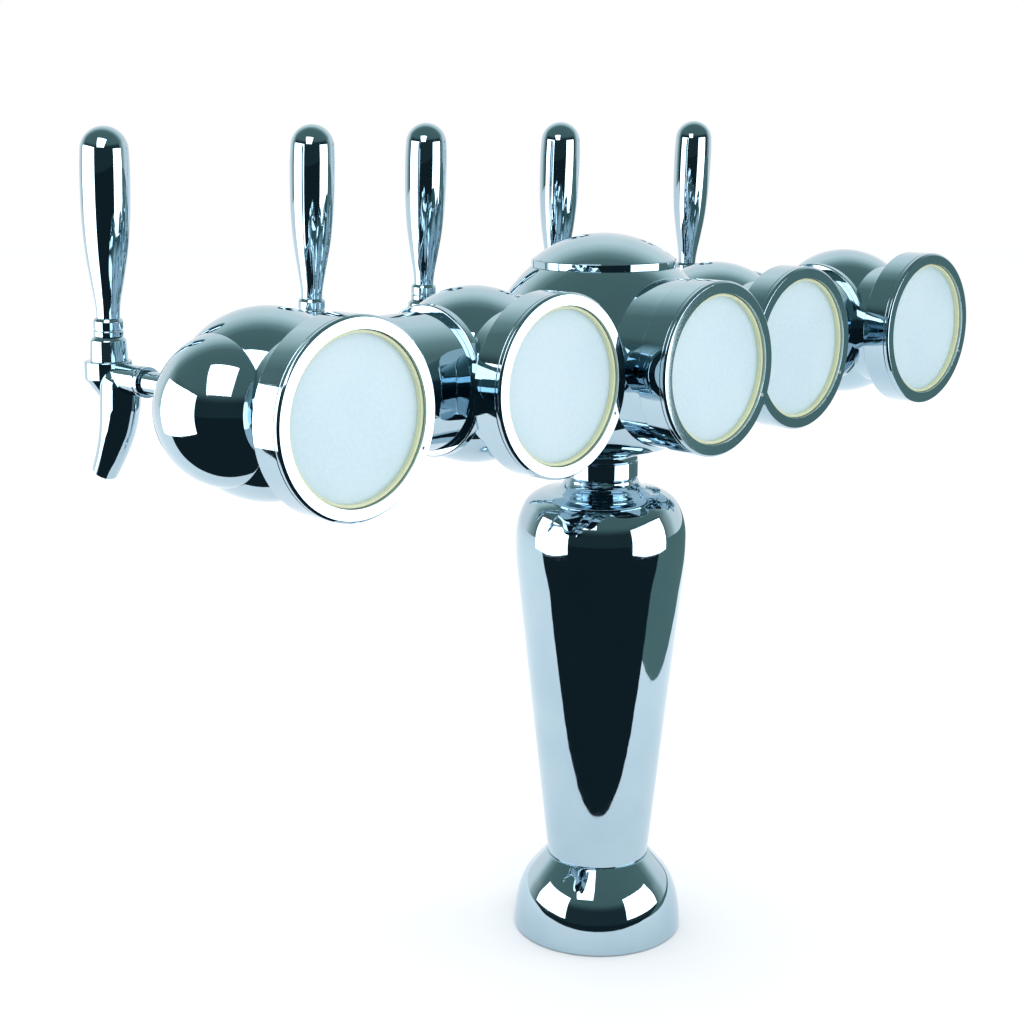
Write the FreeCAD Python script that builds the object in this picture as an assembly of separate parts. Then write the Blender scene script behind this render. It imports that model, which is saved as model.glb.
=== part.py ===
import FreeCAD, Part

import math
import os

# Five-way beer tap tower: a turned column carries a horizontal bar of ball modules.
# Every module has a lit medallion at the front (-Y) and a lever tap at the back (+Y).
# Millimetres. Origin: centre of the base on the counter. +X along the bar, +Z up.

# --- bar and stations -------------------------------------------------------------
BAR_HEIGHT = 364.5          # counter to bar axis
INNER_STATION = 108.9       # centre to the second and fourth stations
STATION_PITCH = 144.5       # second to first station, fourth to fifth
BALL_R = 49.2               # outer radius of a station ball
BALL_WALL = 3.0
CENTRE_R = 68.5             # outer radius of the centre body
CENTRE_WALL = 3.5
TUBE_R = 38.0               # horizontal arm tube
TUBE_WALL = 2.0
COLLAR_STAND = 3.5          # collar's edge above the tube
COLLAR_WIDTH = 5.5
COLLAR_EDGE = 0.8
SPIGOT_DEPTH = 6.0          # how far a spigot reaches into its neighbour
SPIGOT_WALL = 2.8
SEAT_GAP = 0.1              # clearance of a spigot in its socket
PART_GAP = 0.3              # clearance between neighbours that do not fit together
CAP_STAND = 0.2             # end cap's edge above the tube's radius
CAP_BULGE = 9.25            # centre of the cap's dome inboard of its edge
CAP_WALL = 2.5

# --- centre body and dome -------------------------------------------------------------
CENTRE_TOP = 53.0           # flat top above the bar axis
CENTRE_BOTTOM = 54.4        # flat underside below the bar axis
CENTRE_FLOOR = 4.0
UNDERSIDE_FILLET = 12.0
DOME_RING_INSET = 0.4       # ring inside the edge of the flat top
DOME_RING_HEIGHT = 4.3
DOME_SPIGOT_WALL = 4.5
DOME_EDGE_INSET = 0.7       # dome's edge inside the ring
DOME_RISE = 15.4
DOME_WALL = 2.5

# --- column and base ------------------------------------------------------------------
MAST_R = 18.0               # inner mast that holds the tower together
MAST_WALL = 2.0
MAST_ABOVE_FLOOR = 9.0      # thread above the centre body's floor
MAST_NUT_HEIGHT = 6.0
MAST_NUT_WALL = 4.0
BASE_R = 52.6
BASE_LIFT = 0.6             # flange edge above the counter, taken by the gasket
BASE_EDGE = 4.0             # upright edge of the flange
BASE_TOP = 49.0
BASE_WALL = 4.0
BASE_RIM = 9.0              # flange rim outside the mounting plate
# base outline between edge and top: distance inside BASE_R, height
BASE_SHAPE = [(1.9, 12.4), (4.0, 22.7), (8.3, 33.5), (14.0, 41.6)]
COLUMN_FOOT_R = 31.4
COLUMN_WIDE_R = 52.2
COLUMN_TAPER_R = 49.8       # end of the straight taper
COLUMN_WALL = 3.0
SHOULDER_DEPTH = 72.0       # end of the straight taper below the column's top
# shoulder outline: distance inside COLUMN_WIDE_R, distance below the column's top
SHOULDER_SHAPE = [(0.0, 42.3), (0.7, 30.3), (3.3, 21.3), (7.3, 14.3), (14.2, 9.8),
                  (22.2, 7.8), (27.6, 5.6)]
NECK_WALL = 4.0             # neck ring around the mast
NECK_RING_HEIGHT = 10.4
NECK_SOCKET_HEIGHT = 8.4
NECK_FLARE = 4.4            # how much the socket widens to the centre body
NECK_EDGE = 0.6             # small bevel at the joint lines
PLATE_HEIGHT = 9.0
PLATE_BORE_STEP = 1.0       # plate's hose entry is this much smaller than the mast
BOLT_CIRCLE = 62.0
BOLT_COUNT = 3
BOLT_HOLE_R = 4.0
GASKET_INSET = 2.0          # plate to gasket
GASKET_WIDTH = 4.5
GASKET_HEIGHT = 2.4

# --- medallion --------------------------------------------------------------------------
RIM_R = 50.0
RIM_DEPTH = 19.0            # back of the rim to the front of the bezel
RIM_WALL = 3.2
RIM_BACK = 3.0              # thickness of the back plate
RIM_OFF_BALL = 0.6          # rim's back stands this far off the ball
STATION_NECK_INSET = 11.0   # neck between ball and rim, inside the rim's edge
CENTRE_NECK_INSET = 1.0
CUP_NECK_WALL = 3.0
STEM_R = 8.0                # hollow fixing stem
STEM_BORE = 3.5
STEM_REACH = 12.0           # stem past the ball's inner surface
NUT_HEIGHT = 5.0            # lock nuts inside the balls
NUT_WALL = 3.0
BEZEL_LIP = 3.2             # thickness of the flat front ring
BEZEL_WIDTH = 7.0
BEZEL_SKIRT = 6.0
SKIRT_WALL = 1.6
BEZEL_EDGE = 1.1            # bevel on the outer front edge
SCREW_R = 1.2
SCREW_LENGTH = 2.6
SCREW_ANGLE = -25.0         # below the right-hand side of the ring
SEAL_SHOWING = 1.8          # seal that shows inside the bezel
SEAL_HEIGHT = 1.6
SEAL_LIP = 1.5
LENS_THICKNESS = 3.0
LED_BOARD_MARGIN = 6.8      # cup's inner wall to the board
LED_BOARD_THICKNESS = 1.6
LED_STANDOFF = 2.0
LED_SIZE = 4.0
LED_HEIGHT = 1.2
LED_CIRCLE = 24.0
LED_COUNT = 8

# --- tap ----------------------------------------------------------------------------------
TAP_REACH = 139.3           # bar axis to lever axis, outer stations
CENTRE_TAP_SHIFT = 17.0     # the centre tap stands this much further back
SHANK_R = 6.5
SHANK_BORE = 3.5
SHANK_INSIDE = 14.0         # shank past the ball's inner surface
SHANK_FLANGE_WIDTH = 6.5
SHANK_FLANGE_HEIGHT = 5.0
COUPLING_WALL = 1.9
COUPLING_LENGTH = 8.0
COUPLING_EDGE = 0.8
RUN_GAP = 0.05              # radial running clearance
VALVE_R = 5.0               # guide part of the valve shaft
BARREL_WALL = 3.2
BARREL_BACK = 28.0          # lever axis to the shank end of the barrel
BARREL_FRONT = 8.0
HEAD_R = 13.0
HEAD_SHIFT = 1.2
HEAD_ABOVE_BARREL = 0.4
HEAD_BOTTOM = -1.5
HEAD_TAPER = 8.5            # height of the taper under the head
HEAD_TAPER_R = 8.6
SEAT_R = 3.9
SEAT_LENGTH = 2.5
SEAT_BACK = 18.5            # lever axis to the valve seat
WASHER_LAND = 1.5           # washer's overlap on the seat
WASHER_LENGTH = 3.5
WASHER_CLEARANCE = 0.8      # around the washer in the inlet chamber
VALVE_ROD_R = 2.2
GUIDE_BACK = 6.0
GUIDE_FRONT = 5.0
GUIDE_BLIND = 2.0           # guide bore past the closed shaft
SPOUT_BORE = 4.8
BORE_ABOVE_ELBOW = 4.0      # spout's bore starts this far above the elbow's centre
# spout centre line behind (-) or ahead (+) of the lever axis, height, outer radius
SPOUT_STATIONS = [(-9.7, -4.5, 11.2), (-8.3, -16.0, 11.0), (-4.7, -29.5, 10.0),
                  (1.6, -42.5, 8.6), (9.3, -54.5, 7.3)]

# --- lever ----------------------------------------------------------------------------------
PIVOT_ABOVE_HEAD = 4.4
LEVER_LEAN = 2.5            # degrees towards the bar when closed
LEVER_THROW = 30.0          # degrees from closed to fully open
BALL_JOINT_R = 5.0
TIP_HEIGHT = 3.5            # driving tip above the valve shaft's axis
TIP_R = 1.9
TIP_STEM_R = 1.5
TIP_SLOT_GAP = 0.35
TIP_FLOOR_GAP = 0.6
LEVER_STEM_R = 2.8
PIN_R = 1.5
PIN_INSET = 0.5             # pin's ends inside the bonnet's surface
BONNET_DOME_R = 12.0        # dome centred on the lever pivot
BONNET_TOP_R = 9.7
BONNET_FOOT_R = 10.4
FERRULE_GAP = 0.5
FERRULE_R = 8.1
FERRULE_TOP = 19.0          # above the pivot
FERRULE_EDGE = 0.7
STUD_R = 3.0
STUD_LENGTH = 12.0
HANDLE_FOOT_R = 6.3
HANDLE_LENGTH = 103.3
HANDLE_CROWN_R = 13.0
# handle's radius at heights above its foot
HANDLE_SHAPE = [(6.5, 5.0), (8.6, 18.0), (11.4, 35.5), (12.9, 53.0), (13.35, 69.0)]

# --- hoses and wiring --------------------------------------------------------------------------
HOSE_R = 4.0
HOSE_BORE = 2.5
HOSE_MARGIN = 3.0           # hose to the mast's inner wall
HOSE_BEND = 22.0
HOSE_DOWN_BEND = 28.0
HOSE_ABOVE_PLATE = 3.0      # lower ends above the mounting plate
LOOM_R = 1.8
LOOM_HEIGHT = 16.0          # wiring runs this far above the bar axis
LOOM_CLEAR = 8.0            # a branch turns down this far behind the stem

# --- derived sizes --------------------------------------------------------------------------------
STATIONS = [-INNER_STATION - STATION_PITCH, -INNER_STATION, 0.0,
            INNER_STATION, INNER_STATION + STATION_PITCH]
BALL_STATIONS = [1, 2, 4, 5]
CENTRE = 3

V = FreeCAD.Vector
X_AXIS = V(1, 0, 0)
Y_AXIS = V(0, 1, 0)
Z_AXIS = V(0, 0, 1)
ORIGIN = V(0, 0, 0)

PORT = math.sqrt(BALL_R ** 2 - TUBE_R ** 2)             # station centre to its flat port
PORT_BORE = math.sqrt((BALL_R - BALL_WALL) ** 2 - PORT ** 2)
CENTRE_PORT = math.sqrt(CENTRE_R ** 2 - TUBE_R ** 2)
COLLAR_R = TUBE_R + COLLAR_STAND
CAP_R = math.hypot(TUBE_R + CAP_STAND, CAP_BULGE)
CAP_OFFSET = PORT - CAP_BULGE                           # station centre to the dome's centre
DOME_RING_R = math.sqrt(CENTRE_R ** 2 - CENTRE_TOP ** 2) - DOME_RING_INSET
DOME_SOCKET_R = math.sqrt((CENTRE_R - CENTRE_WALL) ** 2 - CENTRE_TOP ** 2)
DOME_RING_BORE = DOME_SOCKET_R - SEAT_GAP - DOME_SPIGOT_WALL
DOME_EDGE_R = DOME_RING_R - DOME_EDGE_INSET
CENTRE_UNDERSIDE = BAR_HEIGHT - CENTRE_BOTTOM           # above the counter
CENTRE_FLOOR_TOP = CENTRE_UNDERSIDE + CENTRE_FLOOR
NECK_RING_TOP = CENTRE_UNDERSIDE - NECK_SOCKET_HEIGHT
COLUMN_TOP = NECK_RING_TOP - NECK_RING_HEIGHT
MAST_HOLE_R = MAST_R + SEAT_GAP
NECK_R = MAST_HOLE_R + NECK_WALL
PLATE_R = BASE_R - BASE_RIM
GASKET_IN_R = PLATE_R + GASKET_INSET
GASKET_OUT_R = GASKET_IN_R + GASKET_WIDTH
BEZEL_BORE = RIM_R - BEZEL_WIDTH
CUP_BORE = RIM_R - RIM_WALL
SKIRT_R = CUP_BORE - SEAT_GAP
LENS_R = SKIRT_R - SKIRT_WALL - SEAT_GAP
COUPLING_R = SHANK_R + COUPLING_WALL
BARREL_R = VALVE_R + BARREL_WALL
HEAD_TOP = BARREL_R + HEAD_ABOVE_BARREL
PIVOT_HEIGHT = HEAD_TOP + PIVOT_ABOVE_HEAD
TIP_ARM = PIVOT_HEIGHT - TIP_HEIGHT
TIP_FLOOR = TIP_HEIGHT - TIP_R - TIP_FLOOR_GAP
TIP_SWEEP = TIP_ARM * math.sin(math.radians(LEVER_THROW - LEVER_LEAN))
LEVER_HOLE_R = TIP_SWEEP + TIP_R + PART_GAP
WASHER_R = SEAT_R + WASHER_LAND
HOSE_CIRCLE = MAST_R - MAST_WALL - HOSE_MARGIN - HOSE_R
HOSE_END = PLATE_HEIGHT + HOSE_ABOVE_PLATE


# --- helpers ---------------------------------------------------------------------------------------

def write(name, *solids):
    """Write one node: a single solid, or a group of like solids."""
    shape = solids[0] if len(solids) == 1 else Part.makeCompound(list(solids))
    shape.exportStep(f"parts/{name}.step")


def at(r, z):
    return V(r, 0, z)


def run(*points):
    """Straight edges through points given as (radius, height)."""
    return [Part.makeLine(at(*a), at(*b)) for a, b in zip(points, points[1:])]


def arc(a, b, c):
    return [Part.Arc(at(*a), at(*b), at(*c)).toShape()]


def curve(points):
    """Smooth edge through all points."""
    spline = Part.BSplineCurve()
    spline.interpolate([at(*p) for p in points])
    return [spline.toShape()]


def curve_from(direction, points):
    """Smooth edge through all points that leaves the first one along direction."""
    spline = Part.BSplineCurve()
    vectors = [at(*p) for p in points]
    leave = at(*direction).normalize()
    arrive = (vectors[-1] - vectors[-2]).normalize()
    spline.interpolate(Points=vectors, InitialTangent=leave, FinalTangent=arrive)
    return [spline.toShape()]


def turned(edges):
    """Solid of revolution about Z from the edges of a closed outline."""
    face = Part.Face(Part.Wire(Part.__sortEdges__(edges)))
    solid = face.revolve(ORIGIN, Z_AXIS, 360)
    return solid if solid.Volume > 0 else solid.reversed()


def turned_polygon(*points):
    return turned(run(*points, points[0]))


def ring(r_in, r_out, z0, z1):
    return turned_polygon((r_in, z0), (r_out, z0), (r_out, z1), (r_in, z1))


def rod(r, z0, z1):
    return Part.makeCylinder(r, z1 - z0, V(0, 0, z0))


def ball(r, centre=ORIGIN):
    return Part.makeSphere(r, centre)


def slab(x0, x1, y0, y1, z0, z1):
    return Part.makeBox(x1 - x0, y1 - y0, z1 - z0, V(x0, y0, z0))


def hexagon(across_flats, z0, z1):
    corner = across_flats / math.sqrt(3)
    points = [V(corner * math.cos(math.radians(a)), corner * math.sin(math.radians(a)), z0)
              for a in range(0, 420, 60)]
    return Part.Face(Part.makePolygon(points)).extrude(V(0, 0, z1 - z0))


def turn(shape, axis, degrees, about=ORIGIN):
    copy = shape.copy()
    copy.rotate(about, axis, degrees)
    return copy


def move(shape, x=0.0, y=0.0, z=0.0):
    copy = shape.copy()
    copy.translate(V(x, y, z))
    return copy


def to_front(shape):
    """Lay a piece turned about Z so that its +Z faces the customer (-Y)."""
    return turn(shape, X_AXIS, 90)


def to_back(shape):
    """Lay a piece turned about Z so that its +Z faces the bartender (+Y)."""
    return turn(shape, X_AXIS, -90)


def along_x(shape, side=1):
    """Lay a piece turned about Z so that its +Z points to +X, or to -X."""
    return turn(shape, Y_AXIS, 90 * side)


def rounded(shape, radius, chooses):
    """Fillet the edges that chooses() accepts."""
    return shape.makeFillet(radius, [edge for edge in shape.Edges if chooses(edge)])


def body_radius(station):
    return CENTRE_R if station == CENTRE else BALL_R


def inner_radius(station):
    return CENTRE_R - CENTRE_WALL if station == CENTRE else BALL_R - BALL_WALL


def tap_reach(station):
    return TAP_REACH + (CENTRE_TAP_SHIFT if station == CENTRE else 0.0)


def placed(shape, station):
    """Move a piece made about the bar axis to its station."""
    return move(shape, x=STATIONS[station - 1], z=BAR_HEIGHT)


# --- base and column ---------------------------------------------------------------------------------

def base_flange():
    """Bell-shaped foot: a hollow casting that sits over the mounting plate."""
    top_r = COLUMN_FOOT_R + 1.9
    top_in = COLUMN_FOOT_R - COLUMN_WALL - 4.0
    hollow_r = PLATE_R - 4.0
    socket_r = PLATE_R + SEAT_GAP
    bell = [(BASE_R - inset, height) for inset, height in BASE_SHAPE]
    edges = run((BASE_R, BASE_LIFT), (BASE_R, BASE_LIFT + BASE_EDGE))
    edges += curve_from((0, 1), [(BASE_R, BASE_LIFT + BASE_EDGE)] + bell + [(top_r, BASE_TOP - 1.0)])
    edges += run((top_r, BASE_TOP - 1.0), (top_r - 1.0, BASE_TOP), (top_in, BASE_TOP),
                 (top_in, BASE_TOP - BASE_WALL), (COLUMN_FOOT_R, BASE_TOP - 2 * BASE_WALL),
                 (hollow_r, PLATE_HEIGHT + 14.0), (hollow_r, PLATE_HEIGHT),
                 (socket_r, PLATE_HEIGHT), (socket_r, BASE_LIFT), (BASE_R, BASE_LIFT))
    groove = ring(GASKET_IN_R - SEAT_GAP, GASKET_OUT_R + SEAT_GAP, 0.0, GASKET_HEIGHT)
    return turned(edges).cut(groove)


def base_gasket():
    return ring(GASKET_IN_R, GASKET_OUT_R, 0.0, GASKET_HEIGHT)


def mounting_plate():
    """Steel plate inside the foot with the tapped holes for bolts from under the counter."""
    bore = MAST_R - PLATE_BORE_STEP
    plate = ring(bore, PLATE_R, 0.0, PLATE_HEIGHT)
    for i in range(BOLT_COUNT):
        hole = rod(BOLT_HOLE_R, -1.0, PLATE_HEIGHT + 1.0)
        angle = 90 + i * 360 / BOLT_COUNT
        plate = plate.cut(turn(move(hole, x=BOLT_CIRCLE / 2), Z_AXIS, angle))
    return plate


def mast_tube():
    """Steel tube welded on the plate; the nut on its top clamps the tower together."""
    return ring(MAST_R - MAST_WALL, MAST_R, PLATE_HEIGHT, CENTRE_FLOOR_TOP + MAST_ABOVE_FLOOR)


def mast_nut():
    across_flats = 2 * (MAST_R + MAST_NUT_WALL)
    nut = hexagon(across_flats, CENTRE_FLOOR_TOP, CENTRE_FLOOR_TOP + MAST_NUT_HEIGHT)
    return nut.cut(rod(MAST_R, 0, BAR_HEIGHT))


def column():
    """Hollow turned column: straight taper, wide shoulder, short neck."""
    taper_end = (COLUMN_TAPER_R, COLUMN_TOP - SHOULDER_DEPTH)
    slope = (taper_end[0] - COLUMN_FOOT_R, taper_end[1] - BASE_TOP)
    shoulder = [(COLUMN_WIDE_R - inset, COLUMN_TOP - drop) for inset, drop in SHOULDER_SHAPE]
    neck = (NECK_R, COLUMN_TOP - 2 * NECK_EDGE)
    ceiling = (COLUMN_WIDE_R - 20.0, COLUMN_TOP - 14.3)
    throat = (MAST_HOLE_R, COLUMN_TOP - 12.3)
    edges = run((COLUMN_FOOT_R, BASE_TOP), taper_end)
    edges += curve_from(slope, [taper_end] + shoulder + [neck])
    edges += run(neck, (NECK_R - NECK_EDGE, COLUMN_TOP), (MAST_HOLE_R, COLUMN_TOP), throat, ceiling)
    inside = [(r - COLUMN_WALL, z) for r, z in [taper_end] + shoulder[:3]]
    edges += curve_from(slope, inside + [ceiling])
    edges += run(inside[0], (COLUMN_FOOT_R - COLUMN_WALL, BASE_TOP), (COLUMN_FOOT_R, BASE_TOP))
    return turned(edges)


def neck_ring():
    """Plain ring between column and neck socket."""
    return turned_polygon(
        (MAST_HOLE_R, COLUMN_TOP), (NECK_R - NECK_EDGE, COLUMN_TOP),
        (NECK_R, COLUMN_TOP + NECK_EDGE), (NECK_R, NECK_RING_TOP - NECK_EDGE),
        (NECK_R - NECK_EDGE, NECK_RING_TOP), (MAST_HOLE_R, NECK_RING_TOP))


def neck_socket():
    """Flared ring that carries the centre body."""
    low = (NECK_R, NECK_RING_TOP + NECK_EDGE)
    high = (NECK_R + NECK_FLARE, CENTRE_UNDERSIDE)
    middle = (NECK_R + 0.25 * NECK_FLARE, (low[1] + high[1]) / 2)
    edges = run(low, (NECK_R - NECK_EDGE, NECK_RING_TOP), (MAST_HOLE_R, NECK_RING_TOP),
                (MAST_HOLE_R, CENTRE_UNDERSIDE), high)
    return turned(edges + arc(low, middle, high))


# --- centre body and dome ------------------------------------------------------------------

def port_spigot(side):
    """Ring on the centre body that carries an inner arm tube."""
    r_out = TUBE_R - TUBE_WALL - SEAT_GAP
    root = CENTRE_WALL / 2
    spigot = ring(r_out - SPIGOT_WALL, r_out, -root, SPIGOT_DEPTH)
    return move(along_x(spigot, side), x=side * CENTRE_PORT)


def medallion_hole(station):
    r = body_radius(station)
    return to_front(rod(STEM_R + SEAT_GAP, r / 2, r + 5.0))


def shank_hole(station):
    r = body_radius(station)
    return to_back(rod(SHANK_R + SEAT_GAP, r / 2, r + 5.0))


def is_circle(edge, radius, z):
    kind = edge.Curve
    if not isinstance(kind, Part.Circle):
        return False
    return abs(kind.Radius - radius) < 0.01 and abs(kind.Center.z - z) < 0.01


def centre_body():
    """Large hollow ball, flat at the top, underneath and at both ports."""
    block = slab(-CENTRE_PORT, CENTRE_PORT, -CENTRE_R, CENTRE_R, -CENTRE_BOTTOM, CENTRE_TOP)
    shell = ball(CENTRE_R).common(block)
    low_r = math.sqrt(CENTRE_R ** 2 - CENTRE_BOTTOM ** 2)
    shell = rounded(shell, UNDERSIDE_FILLET, lambda edge: is_circle(edge, low_r, -CENTRE_BOTTOM))
    hollow = ball(CENTRE_R - CENTRE_WALL)
    floor = CENTRE_FLOOR - CENTRE_BOTTOM
    hollow = hollow.common(slab(-CENTRE_R, CENTRE_R, -CENTRE_R, CENTRE_R, floor, CENTRE_R))
    shell = shell.cut(hollow).cut(rod(MAST_HOLE_R, -CENTRE_R, 0))
    for side in (-1, 1):
        shell = shell.fuse(port_spigot(side))
    shell = shell.cut(medallion_hole(CENTRE)).cut(shank_hole(CENTRE))
    return move(shell.removeSplitter(), z=BAR_HEIGHT)


def dome_ring():
    """Upright polished band under the dome, with a spigot into the centre body."""
    band = ring(DOME_RING_BORE, DOME_RING_R, CENTRE_TOP, CENTRE_TOP + DOME_RING_HEIGHT)
    spigot = ring(DOME_RING_BORE, DOME_SOCKET_R - SEAT_GAP, CENTRE_TOP - SPIGOT_DEPTH / 2,
                  CENTRE_TOP)
    return move(band.fuse(spigot).removeSplitter(), z=BAR_HEIGHT)


def dome_cap():
    """Shallow dome that closes the top of the tower."""
    z0 = CENTRE_TOP + DOME_RING_HEIGHT
    outer_r = (DOME_EDGE_R ** 2 + DOME_RISE ** 2) / (2 * DOME_RISE)
    centre = V(0, 0, z0 + DOME_RISE - outer_r)
    shell = ball(outer_r, centre).common(rod(DOME_EDGE_R, z0, z0 + DOME_RISE))
    shell = shell.cut(ball(outer_r - DOME_WALL, centre))
    r_out = DOME_RING_BORE - SEAT_GAP
    spigot = ring(r_out - SPIGOT_WALL, r_out, z0 - SPIGOT_DEPTH / 2, z0 + DOME_RISE / 2)
    spigot = spigot.common(ball(outer_r - DOME_WALL / 2, centre))
    return move(shell.fuse(spigot).removeSplitter(), z=BAR_HEIGHT)


# --- arms -----------------------------------------------------------------------------------

def station_body(station):
    """Hollow ball with a flat port on each side."""
    block = slab(-PORT, PORT, -BALL_R, BALL_R, -BALL_R, BALL_R)
    shell = ball(BALL_R).common(block).cut(ball(BALL_R - BALL_WALL))
    return placed(shell.cut(medallion_hole(station)).cut(shank_hole(station)), station)


def arm_collar(station, side):
    """Bright ring on a ball's port with a spigot into the ball and one into the tube."""
    ball_spigot_r = PORT_BORE - SEAT_GAP
    tube_spigot_r = TUBE_R - TUBE_WALL - SEAT_GAP
    bore = min(ball_spigot_r, tube_spigot_r) - SPIGOT_WALL
    collar = turned_polygon(
        (bore, -SPIGOT_DEPTH / 2), (ball_spigot_r, -SPIGOT_DEPTH / 2), (ball_spigot_r, 0),
        (COLLAR_R - COLLAR_EDGE, 0), (COLLAR_R, COLLAR_EDGE),
        (COLLAR_R, COLLAR_WIDTH - COLLAR_EDGE), (COLLAR_R - COLLAR_EDGE, COLLAR_WIDTH),
        (tube_spigot_r, COLLAR_WIDTH), (tube_spigot_r, COLLAR_WIDTH + SPIGOT_DEPTH),
        (bore, COLLAR_WIDTH + SPIGOT_DEPTH))
    return placed(move(along_x(collar, side), x=side * PORT), station)


def arm_tube(x0, x1):
    tube = ring(TUBE_R - TUBE_WALL, TUBE_R, 0, x1 - x0)
    return move(along_x(tube), x=x0, z=BAR_HEIGHT)


def end_cap(station, side):
    """Domed end with a spigot into the outer ball."""
    centre = V(0, 0, CAP_OFFSET)
    shell = ball(CAP_R, centre).cut(ball(CAP_R - CAP_WALL, centre))
    shell = shell.common(rod(CAP_R, PORT, PORT + 2 * CAP_R))
    r_out = PORT_BORE - SEAT_GAP
    spigot = ring(r_out - SPIGOT_WALL, r_out, PORT - SPIGOT_DEPTH / 2, PORT + 2 * CAP_R)
    spigot = spigot.common(ball(CAP_R - CAP_WALL / 2, centre).fuse(rod(CAP_R, 0, PORT)))
    shell = shell.fuse(spigot).removeSplitter()
    return placed(along_x(shell, side), station)


# --- medallion, made about Z with +Z towards the customer -----------------------------------

def rim_back(station):
    return body_radius(station) + RIM_OFF_BALL


def rim_front(station):
    """Plane where the bezel's lip seats on the housing."""
    return rim_back(station) + RIM_DEPTH - BEZEL_LIP


def board_back(station):
    return rim_back(station) + RIM_BACK + LED_STANDOFF


def arm_keepouts(station):
    """Room that a medallion's neck leaves for its neighbours on the bar."""
    if station == CENTRE:
        return []
    solids = []
    for side in (-1, 1):
        outboard = station in (1, 5) and side * STATIONS[station - 1] > 0
        if outboard:
            solids.append(ball(CAP_R + PART_GAP, V(side * CAP_OFFSET, 0, 0)))
        else:
            collar = rod(COLLAR_R + PART_GAP, -PART_GAP, COLLAR_R)
            solids.append(move(along_x(collar, side), x=side * PORT))
    return solids


def medallion_housing(station):
    """Cup with a neck that seats on the ball and a hollow stem for nut and wires."""
    back = rim_back(station)
    front = rim_front(station)
    inset = CENTRE_NECK_INSET if station == CENTRE else STATION_NECK_INSET
    neck_r = RIM_R - inset
    edge = COLLAR_EDGE
    cup = turned_polygon((STEM_BORE, back), (RIM_R - edge, back), (RIM_R, back + edge),
                         (RIM_R, front), (CUP_BORE, front), (CUP_BORE, back + RIM_BACK),
                         (STEM_BORE, back + RIM_BACK))
    root = math.sqrt(body_radius(station) ** 2 - neck_r ** 2)
    neck = ring(neck_r - CUP_NECK_WALL, neck_r, root - 2.0, back)
    housing = to_front(cup.fuse(neck.cut(ball(body_radius(station)))))
    for solid in arm_keepouts(station):
        housing = housing.cut(solid)
    stem_end = inner_radius(station) - STEM_REACH
    stem = to_front(ring(STEM_BORE, STEM_R, stem_end, back + RIM_BACK / 2))
    return placed(housing.fuse(stem).removeSplitter(), station)


def lock_nut(thread_r, station):
    """Hexagon nut that bears on a ball's inner wall."""
    across_flats = 2 * thread_r + 2 * NUT_WALL
    corner = across_flats / math.sqrt(3)
    face = math.sqrt(inner_radius(station) ** 2 - corner ** 2) - SEAT_GAP
    nut = hexagon(across_flats, face - NUT_HEIGHT, face)
    return nut.cut(rod(thread_r, 0, face + 1.0))


def stem_nut(station):
    """Nut that holds the medallion from inside the ball."""
    return placed(to_front(lock_nut(STEM_R, station)), station)


def screw_rod(station):
    """Grub screw's body near the bezel's bore, at the lower right of the ring."""
    face = rim_front(station) + BEZEL_LIP
    screw = rod(SCREW_R, face - SCREW_LENGTH, face)
    return turn(move(screw, x=BEZEL_BORE + 1.6 * SCREW_R), Z_AXIS, SCREW_ANGLE)


def medallion_bezel(station):
    """Flat polished front ring with a skirt inside the housing."""
    back = rim_front(station)
    face = back + BEZEL_LIP
    bezel = turned_polygon(
        (BEZEL_BORE, back), (BEZEL_BORE, face), (RIM_R - BEZEL_EDGE, face),
        (RIM_R, face - BEZEL_EDGE), (RIM_R, back), (SKIRT_R, back),
        (SKIRT_R, back - BEZEL_SKIRT), (SKIRT_R - SKIRT_WALL, back - BEZEL_SKIRT),
        (SKIRT_R - SKIRT_WALL, back))
    return placed(to_front(bezel.cut(screw_rod(station))), station)


def bezel_screw(station):
    """Small grub screw that locks the bezel."""
    return placed(to_front(screw_rod(station)), station)


def lens_seal(station):
    """Pale ring between bezel and lens; its lip shows inside the bezel."""
    front = rim_front(station)
    lip_r = BEZEL_BORE - SEAT_GAP
    bore = BEZEL_BORE - SEAL_SHOWING
    seal = turned_polygon((bore, front - SEAL_HEIGHT), (LENS_R, front - SEAL_HEIGHT),
                          (LENS_R, front), (lip_r, front), (lip_r, front + SEAL_LIP),
                          (bore, front + SEAL_LIP))
    return placed(to_front(seal), station)


def medallion_lens(station):
    front = rim_front(station) - SEAL_HEIGHT
    return placed(to_front(rod(LENS_R, front - LENS_THICKNESS, front)), station)


def led_board(station):
    """Round circuit board on the cup's back plate with a circle of lamps."""
    seat = rim_back(station) + RIM_BACK
    low = board_back(station)
    top = low + LED_BOARD_THICKNESS
    half = LED_SIZE / 2
    board = rod(CUP_BORE - LED_BOARD_MARGIN, low, top)
    board = board.fuse(ring(STEM_BORE, STEM_R, seat, low))
    for i in range(LED_COUNT):
        lamp = slab(LED_CIRCLE - half, LED_CIRCLE + half, -half, half, low, top + LED_HEIGHT)
        board = board.fuse(turn(lamp, Z_AXIS, i * 360 / LED_COUNT))
    return placed(to_front(board.removeSplitter()), station)


# --- tap, made about the point of the shank axis under the lever pivot ----------------------

def tap_placed(shape, station):
    return move(placed(shape, station), y=tap_reach(station))


def spout_sections(stations):
    """Loft through round sections, each square to the line through its neighbours."""
    sections = []
    last = len(stations) - 1
    for i, (y, z, radius) in enumerate(stations):
        before = stations[max(i - 1, 0)]
        after = stations[min(i + 1, last)]
        direction = V(0, after[0] - before[0], after[1] - before[1])
        sections.append(Part.Wire(Part.makeCircle(radius, V(0, y, z), direction)))
    return Part.makeLoft(sections, True, False)


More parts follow.
